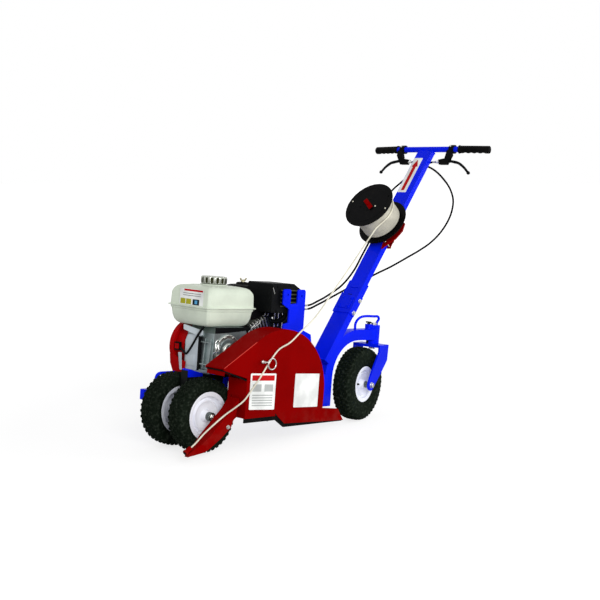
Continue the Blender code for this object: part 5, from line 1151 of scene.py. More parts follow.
def ball(radius, steps, sides, axis="Z"):
    """A ball: a half circle turned about an axis."""
    turn = np.linspace(-math.pi / 2.0, math.pi / 2.0, steps)
    return turned(np.column_stack([radius * np.sin(turn), radius * np.cos(turn)]), sides, axis)


def adjuster(sign):
    """A knurled sleeve, its lock ring and a thin nose, about the cable's own line."""
    profile = [(0.0640, 0.0), (0.0640, 0.0040), (0.0665, 0.0050), (0.0700, 0.0052), (0.0705, 0.0066)]
    profile += [(0.0765, 0.0066), (0.0770, 0.0058), (0.0795, 0.0058), (0.0800, 0.0074), (0.0832, 0.0074)]
    profile += [(0.0836, 0.0062), (0.0850, 0.0062), (0.0850, 0.0)]
    points, faces = turned(profile, 36, "Y")
    turn = np.arctan2(points[:, 2], points[:, 0])
    knurl = 1.0 - 0.05 * (np.cos(turn * 18.0) > 0.0) * (np.hypot(points[:, 0], points[:, 2]) > 0.0062)
    points = points * np.stack([knurl, np.ones(len(points)), knurl], axis=-1)
    return points * np.array([1.0, sign, 1.0]) + np.array([LEVER_X, LINE_Y, LEVER_Z]), faces


def lever_screws(sign):
    """The pivot's screw and the two screws that pinch the clamp on the bar."""
    shells = hex_head("+Z", (LEVER_X, LINE_Y + sign * PIVOT_Y, LEVER_Z + 0.0118), 0.0085, 0.0040, 0.0058)
    for rise in (-0.0125, 0.0125):
        place = (BAR_MIDDLE[0] - 0.0188, LINE_Y + sign * LEVER_Y, BAR_MIDDLE[2] + rise)
        shells += hex_head("-X", place, 0.0070, 0.0030)
    return shells


def finger_blade(sign):
    """The blade's round grip: a tube that swells towards the ball on its end."""
    route = [(-0.014, 0.0040), (-0.020, 0.0040), (-0.034, 0.0036), (-0.076, -0.0045), (-0.106, -0.0235)]
    route += [(-0.126, -0.0425), (-0.130, -0.0462)]
    path = smoothed([(LEVER_X, LINE_Y + sign * (PIVOT_Y - a), LEVER_Z + b) for a, b in route], 0.003)
    reach = np.linspace(0.0, 1.0, len(path))
    blade = swept(path, np.interp(reach, [0.0, 0.12, 0.7, 1.0], [0.0035, 0.0056, 0.0056, 0.0050]), 18)
    return [blade, moved(ball(0.0078, 18, 26), shift(*path[-1]))]


for side, sign in HANDS:
    piece_of("finger_blade_" + side, finger_blade(sign), BLACK_PAINT, body=side + "_lever")
    rounded_copy("lever_mount_" + side, BLACK, 0.0016, 3)
    rounded_copy("lever_" + side, BLACK_PAINT, 0.0018, 3)
    piece_of("cable_adjuster_" + side, adjuster(sign), CHROME)
    piece_of("lever_screws_" + side, lever_screws(sign), STEEL, bevel=0.0003)

# %% [markdown]
# The column carries a long pale panel, and a folded clamp with a square cover plate is bolted
# through it. The panel's one mark is an arrow up the column, drawn as a bar and a head.

# %% Column panel and clamp bolts
PANEL_Y = (-0.010, 0.036)
PANEL_S = (0.771, 0.965)
ARROW_Y = 0.013


def flat_plate(outline, thickness, radius, x):
    """A thin plate with rounded corners, square to the X axis, from its face at x."""
    return moved(prism(outline, 0.0, thickness, "X", radius), shift(x=x))


def cross_bolt(near, far, radius, across, flange, nut=0.0070):
    """A bolt along Y: a head on its flange at the near end, a nut on its flange at the far end."""
    length = far - near
    shank = turned([(0.0, 0.0), (0.0, radius), (length, radius), (length, 0.0)], 28, "Y")
    head = hex_head("-Y", (0.0, near, 0.0), across, 0.0060, flange)
    return [moved(shank, shift(y=near)), *head, *hex_head("+Y", (0.0, far, 0.0), across, nut, flange)]


panel = flat_plate(oblong(PANEL_Y, PANEL_S), -0.0004, 0.003, -0.0131)
piece_of("column_panel", panel, LABEL, column)
arrow_bar = oblong((ARROW_Y - 0.0085, ARROW_Y + 0.0085), (0.782, 0.915))
arrow_head = [(ARROW_Y - 0.0165, 0.9153), (ARROW_Y + 0.0165, 0.9153), (ARROW_Y, 0.956)]
arrow = [flat_plate(outline, -0.0002, 0.001, -0.0136) for outline in (arrow_bar, arrow_head)]
piece_of("column_arrow", arrow, LABEL_RED, column)

CLAMP_HALF = 0.0466
CLAMP_BOLTS = {"clamp_bolt_lower": 0.144, "clamp_bolt_upper": 0.205}
bolt = cross_bolt(-CLAMP_HALF, CLAMP_HALF, 0.0050, 0.0140, 0.00924)
bolt.append(moved(threaded(0.0046, 0.0062), pointing("+Y", (0.0, CLAMP_HALF + 0.0050, 0.0))))
for node, s in CLAMP_BOLTS.items():
    piece_of("hex_" + node, moved(bolt, shift(x=0.004, z=s)), STEEL, column, node, 0.0004)
cover = flat_plate(oblong((-0.030, 0.030), (0.150, 0.208)), -0.0030, 0.004, -0.0211)
piece_of("clamp_cover", cover, BLUE, column, bevel=0.0006)
heads = []
for y in (-0.021, 0.021):
    for s in (0.158, 0.200):
        heads += hex_head("-X", (-0.0241, y, s), 0.0080, 0.0036)
piece_of("clamp_cover_bolts", heads, BLUE, column, bevel=0.0003)
slot = block((-0.0211, -0.0208), (-0.0125, 0.0090), (0.2175, 0.2205))
piece_of("clamp_slot", slot, BLACK, column)

# %% [markdown]
# The tank is two pressed halves rolled together at a flange. Its corners are cut off flat and
# only then rounded, which a plain rounded box would miss, so each level is an eight-sided
# outline with arcs at its corners, and the levels are joined from the bottom to the top.

# %% Fuel tank
TANK_X = (0.029, 0.276)
TANK_Y = (-0.047, 0.183)
TANK_BOTTOM = 0.325
TANK_SEAM = 0.399
TANK_TOP = 0.483
TANK_CUTS = ((0.010, 0.008), (0.007, 0.007), (0.030, 0.030), (0.007, 0.007))
TANK_LEVELS = {
    TANK_BOTTOM: (
        (0.0, 0.060), (0.0002, 0.034), (0.0025, 0.026), (0.008, 0.019), (0.018, 0.0125), (0.034, 0.0075),
    ),
    TANK_SEAM: (
        (-0.014, 0.0040), (-0.012, 0.0012), (-0.0038, 0.0006), (-0.0030, -0.0010), (-0.0026, -0.0060),
        (0.0, -0.0070), (0.0022, -0.0062), (0.0026, -0.0012), (0.0040, 0.0002), (0.020, 0.0010),
    ),
    TANK_TOP: (
        (-0.036, 0.0018), (-0.028, 0.0036), (-0.022, 0.0064), (-0.016, 0.0104), (-0.011, 0.0150),
        (-0.0080, 0.0195), (-0.0058, 0.0260), (-0.0036, 0.0370), (-0.0014, 0.0520), (0.0, 0.0660),
        (0.0, 0.0700),
    ),
}
TANK_CORNER = 0.0075
TANK_FACE = 0.0292
CAP_X, CAP_Y = 0.155, 0.070


def tank_level(height, inset):
    """One level of the tank as points of the chassis."""
    x, y = inward(TANK_X, inset), inward(TANK_Y, inset)
    share = 1.0 - 2.0 * inset
    near_front, near_rear, far_rear, far_front = (np.array(cut) * share for cut in TANK_CUTS)
    outline = [
        (x[0] + near_front[0], y[0]), (x[1] - near_rear[0], y[0]), (x[1], y[0] + near_rear[1]),
        (x[1], y[1] - far_rear[1]), (x[1] - far_rear[0], y[1]), (x[0] + far_front[0], y[1]),
        (x[0], y[1] - far_front[1]), (x[0], y[0] + near_front[1]),
    ]
    flat = rounded_outline(outline, TANK_CORNER, 8)
    return np.column_stack([flat, np.full(len(flat), height)])


def tank_halves():
    """The two halves, from the rise and the inset of each level over the bottom, seam and top."""
    levels = [tank_level(base + rise, inset) for base, steps in TANK_LEVELS.items() for rise, inset in steps]
    return shell_of(np.stack(levels))


def neck_ring():
    """The filler's rolled neck, just above the tank's top."""
    profile = [(-0.006, 0.056), (0.0010, 0.055), (0.0028, 0.053), (0.0032, 0.0500), (0.0032, 0.030)]
    return moved(turned([*profile, (-0.001, 0.030)], 96, ring=True), shift(CAP_X, CAP_Y, TANK_TOP))


def ribbed_cap():
    """A chrome cap whose wall has rounded ribs: r = R (1 - 0.12 (1 - |cos 7a|)) between two rims."""
    profile = np.array([
        (0.4877, 0.0, 0.0), (0.4877, 0.0490, 0.0), (0.4885, 0.0506, 0.0), (0.4900, 0.0508, 0.0),
        (0.4910, 0.0510, 0.3), (0.4925, 0.0524, 1.0), (0.5090, 0.0528, 1.0), (0.5120, 0.0524, 1.0),
        (0.5150, 0.0512, 0.7), (0.5168, 0.0490, 0.3), (0.5176, 0.0450, 0.0), (0.5179, 0.0200, 0.0),
        (0.5180, 0.0, 0.0),
    ])
    z, r, rib = profile.T[..., None]
    turn = 2.0 * math.pi * np.arange(224) / 224
    radius = r * (1.0 - rib * 0.12 * (1.0 - np.abs(np.cos(7.0 * turn))))
    rise = np.broadcast_to(z, radius.shape)
    return shell_of(np.stack([CAP_X + radius * np.cos(turn), CAP_Y + radius * np.sin(turn), rise], axis=-1))


piece_of("pressed_tank", [tank_halves(), neck_ring()], CREAM, replaces="fuel_tank")
piece_of("ribbed_fuel_cap", ribbed_cap(), CAP_CHROME, replaces="fuel_cap", body="tank_cap")
# A dark drum inside the ribs shows in their valleys as painted shade.
drum = turned([(0.4918, 0.0), (0.4918, 0.0500), (0.5095, 0.0508), (0.5120, 0.0500), (0.5120, 0.0)], 72)
piece_of("cap_valley_shade", moved(drum, shift(CAP_X, CAP_Y)), CAP_SHADE, body="tank_cap")
TANK_PANEL = (
    ("tank_panel", LABEL, 0.0004, [((-0.014, 0.122), (0.4035, 0.4660))]),
    ("tank_strip", LABEL_RED, 0.0006, [((-0.010, 0.098), (0.4565, 0.4640))]),
    ("tank_bars", LABEL_GREY, 0.0006, [((0.0, 0.104), (z, z + 0.0025)) for z in (0.4465, 0.4385)]),
    ("tank_squares", LABEL_OLIVE, 0.0006, [((y, y + 0.029), (0.4060, 0.4270)) for y in (0.088, 0.055)]),
    ("tank_mark", LABEL_BLACK, 0.0006, [((0.008, 0.046), (0.4050, 0.4270))]),
    ("tank_patch", LABEL_BLUE, 0.0008, [((0.019, 0.034), (0.4090, 0.4230))]),
)
for name, finish, thick, patches in TANK_PANEL:
    plates = [flat_plate(oblong(y, z), -thick, 0.002, TANK_FACE) for y, z in patches]
    piece_of(name, plates, finish)
# A black plate under the tank's near edge: painted shade beneath the tank.
top = TANK_BOTTOM - 0.0003
tank_shade = [(0.078, top), (0.266, top), (0.266, top - 0.0120), (0.150, top - 0.0200), (0.078, top - 0.0230)]
piece_of("tank_underside_shade", prism(tank_shade, -0.0430, -0.0403), BLACK_PAINT, bevel=0.0006)

# %% [markdown]
# The engine block is a die casting on its flange. The solid gives its walls, and over it come a
# bolted round cover with a machined rim, a pale cover and ribs on the front, a bright control
# plate with a bent black rod, a bail and the bolts that hold it to the deck.

# %% Engine block
CRANK_X, CRANK_Z = 0.145, 0.2345
CASE_NEAR, CASE_FAR = -0.040, 0.112
DECK_TOP = 0.144
COVER_RADIUS = 0.062

rounded_copy("crankcase", CAST, 0.0040, 3)
# A darker copy of the cast aluminium for the head is painted shade; the pale one is machined on the side
# cover and painted highlight on the fins and the muffler's edge.
SHADED_CAST = metal("aluminium painted shade", (0.085, 0.105, 0.120), 0.50, 380.0, 0.00012, stain=0.30)
PALE_CAST = metal("machined aluminium and painted highlight", (0.74, 0.75, 0.70), 0.36, 300.0, 0.00006, stain=0.10)
BRIGHT_CAST = moulded("silver coat", (0.56, 0.62, 0.66), 0.40, 260.0, 0.00006, 0.10, (0.22, 0.26, 0.26))


def side_cover():
    """The bolted cover about the crankshaft: a plate, a machined rim, a boss and a seal."""
    near = CASE_NEAR - 0.0003
    rim = COVER_RADIUS
    profile = [(0.0, 0.014), (0.0, rim), (0.0065, rim), (0.0080, rim - 0.0016), (0.0080, rim - 0.0050)]
    profile += [(0.0055, rim - 0.0070), (0.0055, 0.036), (0.0100, 0.030), (0.0160, 0.028), (0.0175, 0.026)]
    profile += [(0.0175, 0.021), (0.0150, 0.020), (0.0150, 0.014)]
    profile = [(near - rise, radius) for rise, radius in profile]
    return moved(turned(profile, 96, "Y", ring=True), shift(CRANK_X, 0.0, CRANK_Z))


def case_bolts():
    """Eight flanged bolts round the cover, two that hold the block to the deck and the drain plug."""
    shells = []
    for turn in np.radians(np.arange(8) * 45.0 + 20.0):
        spot = (CRANK_X + 0.0535 * math.cos(turn), CASE_NEAR - 0.0080, CRANK_Z + 0.0535 * math.sin(turn))
        shells += hex_head("-Y", spot, 0.0080, 0.0042, 0.0058)
    for x in (0.090, 0.284):
        shells += hex_head("+Z", (x, CASE_NEAR + 0.0085, DECK_TOP + 0.0160), 0.0130, 0.0080, 0.0095)
    return shells + hex_head("-Y", (0.235, CASE_NEAR - 0.0065, 0.176), 0.0150, 0.0065)


def case_ribs():
    """Ribs on the front of the block and a drain boss beside the cover."""
    upright = [(0.0600, 0.160), (0.0760, 0.160), (0.0790, 0.280), (0.0685, 0.280)]
    ribs = [prism(upright, y - 0.0022, y + 0.0022, "Y", 0.002, 4) for y in (-0.030, 0.002)]
    for rise in (0.176, 0.262):
        level = [(0.0625, rise), (0.078, rise), (0.078, rise + 0.005), (0.0635, rise + 0.005)]
        ribs.append(prism(level, CASE_NEAR + 0.004, 0.022, "Y", 0.001, 3))
    boss = turned([(0.0, 0.0), (0.0, 0.015), (0.006, 0.0145), (0.0075, 0.013), (0.0075, 0.0)], 32)
    return [*ribs, moved(boss, pointing("-Y", (0.235, CASE_NEAR + 0.001, 0.176)))]


def front_cover():
    """The pale cover on the front of the block, with its raised pad."""
    cover = [(0.034, 0.150), (0.104, 0.150), (0.107, 0.262), (0.096, 0.285), (0.036, 0.292)]
    pad = [(0.046, 0.165), (0.094, 0.165), (0.096, 0.200), (0.050, 0.206)]
    return [prism(cover, 0.0590, 0.0700, "X", 0.007), prism(pad, 0.0570, 0.0592, "X", 0.006)]


def bail():
    """Two bright upright wires joined over the top, beside the round cover."""
    y = CASE_NEAR - 0.0120
    route = [(0.0745, y + 0.010, 0.226), (0.0745, y, 0.232), (0.0735, y, 0.264), (0.0765, y, 0.2745)]
    route += [(0.0815, y, 0.2765), (0.0865, y, 0.2745), (0.0880, y, 0.264), (0.0870, y, 0.232)]
    return bent_rod([*route, (0.0870, y + 0.010, 0.226)], 0.0026, spacing=0.002)


def control_plate():
    """The bright plate under the tank, folded down at its near end."""
    outline = [(0.0060, 0.2900), (0.0260, 0.2860), (0.1120, 0.3040), (0.1140, 0.3235), (0.0040, 0.3080)]
    return prism(outline, 0.0500, 0.0576, "X", 0.003, 5)


def control_rod():
    """The black rod that drops from the control plate and bends back to the switch."""
    route = [(0.0455, -0.0080, 0.3240), (0.0455, -0.0040, 0.3200), (0.0450, 0.0700, 0.2210)]
    route += [(0.0450, 0.0790, 0.2120), (0.0465, 0.0900, 0.2120), (0.0500, 0.1140, 0.2240)]
    return bent_rod([*route, (0.0505, 0.1230, 0.2290)], 0.0044)


piece_of("front_cover", front_cover(), BRIGHT_CAST, bevel=0.0012)
gap_strip = block((0.0605, 0.0700), (0.0235, 0.0335), (0.152, 0.290))
piece_of("front_gap", gap_strip, BLACK_PAINT, bevel=0.0006)
piece_of("side_cover", side_cover(), PALE_CAST, bevel=0.0005)
piece_of("case_ribs", case_ribs(), CAST, bevel=0.0008)
piece_of("case_bolts", case_bolts(), STEEL, bevel=0.0004)
piece_of("oil_bail", bail(), CHROME)
piece_of("control_plate", control_plate(), BRIGHT_CAST, bevel=0.0005)
piece_of("control_rod", control_rod(), BLACK_PAINT)

# %% [markdown]
# The cylinder leans back under the muffler. Its solid has coarse fins, and a real one has many
# thin ones with rounded ends, so plates are set square to the bore at an even pitch, and finer
# upright ones stand round the head, all cast with the block.

# %% Cylinder and head
CYLINDER_TILT = 25.0
CYLINDER_FOOT = (0.262, 0.0, 0.270)
CYLINDER_LENGTH = 0.135
CYLINDER_Y = (-0.032, 0.092)
HEAD_LENGTH = 0.040


def on_cylinder(points):
    """Points with x along the bore and z across it, carried through the chassis to the frame."""
    return chassis(turn_y(points, -CYLINDER_TILT) + np.array(CYLINDER_FOOT))


def cylinder_fins():
    """The fins round the barrel: plates 4 mm thick every 16.5 mm along the bore."""
    fin = rounded_outline(oblong(CYLINDER_Y, (-0.055, 0.055)), 0.014, 8)
    middle = np.array([sum(CYLINDER_Y), 0.0]) / 2.0
    across = [middle + (fin - middle) * share for share in (0.985, 1.0, 1.0, 0.985)]
    shells = []
    for start in np.arange(0.038, CYLINDER_LENGTH - 0.004, 0.0165):
        along = (start, start + 0.0006, start + 0.0034, start + 0.0040)
        rows = [np.column_stack([np.full(len(fin), x), edge]) for x, edge in zip(along, across)]
        shells.append(shell_of(np.stack(rows)))
    return shells


def barrel():
    """The barrel inside the fins, black between them as painted shade."""
    outline = oblong(inward(CYLINDER_Y, 0.006), (-0.047, 0.047))
    return prism(outline, 0.0004, CYLINDER_LENGTH - 0.0004, "X", 0.016, 8)


def exhaust_shield():
    """A black plate that hangs from the muffler beside the head."""
    outline = [(0.3980, 0.3020), (0.4720, 0.3020), (0.4900, 0.3300), (0.4900, 0.3930), (0.3480, 0.3930)]
    return prism([*outline, (0.3480, 0.3640), (0.3980, 0.3640)], -0.0330, -0.0310)


def shield_bars():
    """The bars and lugs on the shield's near face."""
    uprights = ((0.4020, 0.0060, 0.3240), (0.4240, 0.0040, 0.3270), (0.4480, 0.0035, 0.3120))
    outlines = [oblong((x, x + wide), (low, 0.3810)) for x, wide, low in uprights]
    for x in (0.340, 0.358):
        outlines.append([(x, 0.3690), (x + 0.006, 0.3690), (x + 0.014, 0.3800), (x + 0.008, 0.3800)])
    return [prism(outline, -0.0360, -0.0331) for outline in outlines]


def intake_elbow():
    """The black elbow that runs from the cleaner to the cylinder, between tank and muffler."""
    outline = [(0.2760, 0.3560), (0.3500, 0.3560), (0.3500, 0.4020), (0.2860, 0.4020), (0.2760, 0.3900)]
    return prism(outline, -0.0200, 0.0450, "Y", 0.006, 5)


def head_pieces():
    """The head: a block with upright fins on its near side and top, and its cover."""
    start, end = CYLINDER_LENGTH + 0.0003, CYLINDER_LENGTH + HEAD_LENGTH
    y = inward(CYLINDER_Y, 0.006)
    shells = [prism(oblong(inward(y, 0.010), (-0.040, 0.040)), start, end - 0.010, "X", 0.008)]
    fin = [(start, -0.0455), (end - 0.016, -0.0455), (end - 0.008, -0.036), (end - 0.008, 0.036)]
    fin = rounded_outline([*fin, (end - 0.016, 0.0455), (start, 0.0455)], 0.003, 4)
    for near in np.arange(y[0] + 0.0092, y[1] - 0.002, 0.0092):
        shells.append(prism(fin, near, near + 0.0024))
    for along in np.arange(start, end - 0.012, 0.0150):
        shells.append(block((along, along + 0.0030), (y[0], y[0] + 0.0100), (-0.0440, 0.0440)))
    cover = oblong(inward(y, 0.014), (-0.031, 0.031))
    return [*shells, prism(cover, end - 0.0099, end, "X", 0.012, 8)]


# The fins are pale, the head dark and the barrel black between the fins: painted highlight and painted shade
# on one cast metal.
piece_of("finned_cylinder", cylinder_fins(), PALE_CAST, on_cylinder, "cylinder", 0.0003)
piece_of("cylinder_barrel_shade", barrel(), BLACK_PAINT, on_cylinder)
piece_of("exhaust_shield", exhaust_shield(), BLACK_PAINT, bevel=0.0004)
piece_of("shield_bars", shield_bars(), PALE_CAST, bevel=0.0004)
piece_of("intake_elbow", intake_elbow(), BLACK, bevel=0.0030)
piece_of("finned_head", head_pieces(), SHADED_CAST, on_cylinder, "head_cover", 0.0003)

# %% [markdown]
# The starter's cup and the fan housing behind it are pressed steel in the guard's red. The cup
# is a lathe shape with a rolled edge, its cooling slots are short dark blocks set round the
# crankshaft, and the housing is a flat ring that reaches past the cup.

# %% Starter and fan housing
RECOIL_RADIUS = 0.088
RECOIL_DEPTH = 0.074
HOUSING_RADIUS = 0.1035
HOUSING_BORE = 0.0885
HOUSING_ARC = (62.0, 228.0)


def at_crank(points):
    """Points about the crankshaft's axis, carried through the chassis to the frame."""
    return chassis(points + np.array([CRANK_X, 0.0, CRANK_Z]))


def starter_cup():
    """The cup's outer and inner wall as one closed profile about the crankshaft."""
    start = CASE_FAR + GAP
    end = start + RECOIL_DEPTH
    outer = [(start, 0.0850), (start, 0.0872), (start + 0.0008, 0.0880), (end - 0.0200, 0.0880)]
    outer += [(end - 0.0140, 0.0868), (end - 0.0090, 0.0836), (end - 0.0060, 0.0780), (end - 0.0045, 0.0700)]
    outer += [(end - 0.0042, 0.0600), (end - 0.0020, 0.0560), (end - 0.0004, 0.0500), (end - 0.0004, 0.0340)]
    outer += [(end - 0.0030, 0.0300), (end - 0.0030, 0.0120), (end - 0.0004, 0.0100), (end - 0.0004, 0.0010)]
    inner = [(end - 0.0044, 0.0010), (end - 0.0044, 0.0500), (end - 0.0080, 0.0600), (end - 0.0085, 0.0700)]
    inner += [(end - 0.0130, 0.0800), (end - 0.0200, 0.0850)]
    return turned(outer + inner, 120, "Y", ring=True)


def fan_housing():
    """A flat ring behind the cup, cut level with the deck and clear of the starter's grip."""
    turn = np.radians(np.linspace(*HOUSING_ARC, 60))
    outer = np.stack([HOUSING_RADIUS * np.cos(turn), HOUSING_RADIUS * np.sin(turn)], axis=-1)
    outline = np.concatenate([outer, outer[::-1] * HOUSING_BORE / HOUSING_RADIUS])
    outline[:, 1] = np.maximum(outline[:, 1], DECK_TOP + 0.003 - CRANK_Z)
    return prism(outline, 0.1580, 0.1820)


def cup_slots():
    """Dark cooling slots in one ring on the cup's face."""
    slot = block((0.0605, 0.0695), (0.1818, 0.1823), (-0.0042, 0.0042))
    turns = np.arange(0.0, 360.0, 20.0)
    return [moved(slot, lambda points, turn=turn: turn_y(points, turn)) for turn in turns]


piece_of("starter_cup", starter_cup(), SHROUD_RED, at_crank, "recoil_shroud", 0.0005)
piece_of("fan_housing", fan_housing(), SHROUD_RED, at_crank, bevel=0.0020, segments=3)
piece_of("starter_slots", cup_slots(), BLACK, at_crank)
skirt = [(0.096, 0.1220), (0.150, 0.1190), (0.176, 0.1650), (0.1815, 0.2000), (0.158, 0.2000)]
skirt = prism([*skirt, (0.120, 0.1850), (0.092, 0.1780)], 0.0465, 0.0545, "X", 0.003, 4)
piece_of("housing_skirt", skirt, SHROUD_RED, bevel=0.0010)
strip = [(0.1020, 0.1445), (0.1145, 0.1445), (0.1290, 0.2110), (0.1100, 0.2130)]
strip = prism(strip, 0.0440, 0.0460, "X", 0.002, 4)
piece_of("housing_strip", strip, BRIGHT_CAST, bevel=0.0006)


def pull_grip():
    """The starter's grip: a waisted bar across a stem."""
    z = np.linspace(-1.0, 1.0, 33)
    radius = 0.0090 * np.sqrt(np.clip(1.0 - np.abs(z) ** 9, 0.0, 1.0)) * (0.84 + 0.16 * z ** 2)
    bar = np.stack([np.full(33, 0.014), np.zeros(33), 0.026 * z], axis=-1)
    stem = turned([(0.0, 0.0), (0.0, 0.0052), (0.004, 0.0060), (0.012, 0.0066), (0.012, 0.0)], 28, "X")
    return [swept(bar, np.maximum(radius, 0.0012), 28), stem]


def starter_rope():
    """The rope inside the cup, with a rope's spiral on its radius."""
    along = np.linspace(-0.155, 0.004, 90)
    path = np.stack([along, np.zeros(90), np.zeros(90)], axis=-1)
    return swept(path, 0.0018 + 0.0002 * np.sin(along * 3200.0), 10)


spot = shift(CRANK_X + RECOIL_RADIUS + GAP, CASE_FAR + GAP + 0.034, CRANK_Z)
grip, rope = moved(pull_grip(), spot), moved(starter_rope(), spot)
piece_of("waisted_pull_grip", grip, BLACK, replaces="recoil_grip", body="starter_pull")
piece_of("starter_rope", rope, WIRE, body="starter_pull")
rounded_copy("switch_box", BLACK, 0.0014, 3)
rounded_copy("switch_rocker", SHROUD_RED, 0.0006)

# %% [markdown]
# The muffler is a black box with a louvred guard. Its solid has the slots, and a folded lip
# stands over each of them here. The air cleaner beside it is a moulded case with a domed lid,
# held down by a plated wing nut.

# %% Muffler, air cleaner and carburettor
# The louvres' lips are lighter than the muffler's black paint: painted highlight along them.
LOUVRE_HIGHLIGHT = painted("louvre edges painted highlight", (0.060, 0.066, 0.040), 0.40, 0.0)
LOUVRE_X = (0.362, 0.487)
LOUVRE_Z = 0.406
LOUVRE_PITCH = 0.016
CLEANER_X = (0.292, 0.412)
CLEANER_Y = (0.046, 0.170)

rounded_copy("muffler", BLACK_PAINT, 0.0050, 4)


def louvre_lips():
    """A curved lip over each slot: a quarter round drawn along X with closed ends."""
    turn = np.radians(np.linspace(0.0, 90.0, 7))
    back = turn[::-1]
    shells = []
    for row in range(5):
        z = LOUVRE_Z + LOUVRE_PITCH * row + 0.0062
        outer = np.stack([-0.1001 - 0.0055 * np.sin(turn), z + 0.0045 * np.cos(turn)], axis=-1)
        inner = np.stack([-0.1001 - 0.0045 * np.sin(back), z + 0.0034 * np.cos(back) - 0.0004], axis=-1)
        shells.append(prism(np.concatenate([outer, inner]), *LOUVRE_X, "X"))
    return shells


piece_of("louvre_lips", louvre_lips(), LOUVRE_HIGHLIGHT)
# A pale rod down the muffler's corner: painted highlight along that edge.
seam = straight_rod([(0.3170, -0.1006, 0.4880), (0.3290, -0.1006, 0.4640)], 0.0014, 8)
piece_of("muffler_edge_highlight", seam, PALE_CAST)
screws = []
for x, z in ((0.346, 0.492), (0.346, 0.396), (0.468, 0.396), (0.420, 0.498)):
    screws += hex_head("-Y", (x, -0.1002, z), 0.0070, 0.0032, 0.0052)
piece_of("muffler_screws", screws, BLACK_PAINT, bevel=0.0003)


def cleaner_case():
    """The lower case, its parting line and the lid, level by level."""
    levels = [(0.4024, 0.0300), (0.4026, 0.0060), (0.4060, 0.0030), (0.4360, 0.0012), (0.4366, 0.0028)]
    levels += [(0.4386, 0.0028), (0.4392, 0.0), (0.4620, 0.0010), (0.4740, 0.0040), (0.4810, 0.0100)]
    levels += [(0.4848, 0.0190), (0.4862, 0.0300), (0.4863, 0.0500)]
    rows = []
    for height, inset in levels:
        outline = oblong(inward(CLEANER_X, inset), inward(CLEANER_Y, inset))
        flat = rounded_outline(outline, max(0.024 - 0.2 * inset, 0.006), 9)
        rows.append(np.column_stack([flat, np.full(len(flat), height)]))
    return shell_of(np.stack(rows))


def wing_nut():
    """A hub with two rounded wings that lean outwards."""
    hub = [(0.0, 0.0), (0.0, 0.0082), (0.0020, 0.0082), (0.0090, 0.0056), (0.0100, 0.0046), (0.0100, 0.0)]
    wing = [(0.0040, 0.0030), (0.0120, 0.0090), (0.0190, 0.0160), (0.0195, 0.0215), (0.0165, 0.0230)]
    wing = rounded_outline([*wing, (0.0110, 0.0195), (0.0045, 0.0120)], 0.0012, 4)
    wings = [prism(wing * np.array([sign, 1.0]), -0.0014, 0.0014) for sign in (-1.0, 1.0)]
    return [turned(hub, 36), moved(threaded(0.0030, 0.0060), shift(z=0.0098)), *wings]


def carburettor_pieces():
    """The throat between cylinder and cleaner, its float bowl, its neck and its lever."""
    body = block((0.2990, 0.3360), (0.0465, 0.0895), (0.3485, 0.4015))
    bowl = turned([(0.0, 0.0), (0.0, 0.0150), (0.0150, 0.0165), (0.0165, 0.0155), (0.0170, 0.0)], 40)
    neck = turned([(0.0, 0.0), (0.0, 0.0160), (0.0080, 0.0160), (0.0080, 0.0)], 36)
    lever = [(0.300, 0.386), (0.330, 0.390), (0.334, 0.398), (0.300, 0.394)]
    return [
        body,
        moved(bowl, pointing("-Z", (0.3175, 0.068, 0.3640))),
        moved(neck, pointing("-Y", (0.3175, 0.0480, 0.3800))),
        prism(lever, 0.0380, 0.0396, "Y", 0.002, 4),
    ]


NUT_X, NUT_Y = 0.352, 0.108
piece_of("cleaner_case", cleaner_case(), BLACK, replaces="air_cleaner")
dome = [(0.4850, 0.0), (0.4850, 0.0290), (0.4910, 0.0280), (0.4945, 0.0240), (0.4960, 0.0130), (0.4960, 0.0)]
piece_of("cleaner_dome", moved(turned(dome, 64), shift(NUT_X, NUT_Y)), BLACK)
nut = moved(wing_nut(), shift(NUT_X, NUT_Y, 0.4905))
body = "cleaner_nut"
piece_of("plated_wing_nut", nut, BRASS, replaces="air_cleaner_nut", bevel=0.0005, body=body)
throat = carburettor_pieces()
piece_of("cast_carburettor", throat, CAST, replaces="carburettor", bevel=0.0014)

# %% [markdown]
# Governor springs and rods run between the carburettor and the block, and the exhaust pipe
# drops from the muffler to the head. They are thin, but they fill the gap behind the guard.

# %% Linkage
def coil_spring(start, end, radius, turns, wire):
    """A helix between two points, drawn in to its axis at each end."""
    start, end = np.array(start), np.array(end)
    axis = (end - start) / np.linalg.norm(end - start)
    first = np.cross(axis, (0.0, 1.0, 0.0))
    first /= np.linalg.norm(first)
    second = np.cross(axis, first)
    share = np.linspace(0.0, 1.0, turns * 14 + 1)[:, None]
    turn = share * turns * 2.0 * math.pi
    swell = np.clip(np.minimum(share, 1.0 - share) * 10.0, 0.0, 1.0) * radius
    coil = first * np.cos(turn) + second * np.sin(turn)
    return swept(start + (end - start) * share + swell * coil, wire, 7)


near = CYLINDER_Y[0] - 0.0085
upper = [(0.2560, near, 0.3050), (0.2640, near, 0.3120), (0.3000, near, 0.3320), (0.3180, near, 0.3450)]
upper.append((0.3260, near + 0.004, 0.3560))
near -= 0.004
lower = [(0.2700, near, 0.2900), (0.2780, near, 0.2960), (0.3300, near, 0.3180), (0.3420, near, 0.3240)]
piece_of("governor_rods", [bent_rod(upper, 0.0016, 10), bent_rod(lower, 0.0020, 10)], STEEL)
spring = coil_spring((0.2640, near, 0.3180), (0.3040, near, 0.3480), 0.0042, 12, 0.0008)
piece_of("governor_spring", spring, CHROME)
pipe = [(0.4300, -0.0700, 0.3880), (0.4300, -0.0700, 0.3800), (0.4270, -0.0640, 0.3620)]
pipe += [(0.4180, -0.0480, 0.3500), (0.4080, -0.0300, 0.3460), (0.4020, -0.0200, 0.3450)]
piece_of("exhaust_pipe", bent_rod(pipe, 0.0105, 24), BLACK_PAINT)

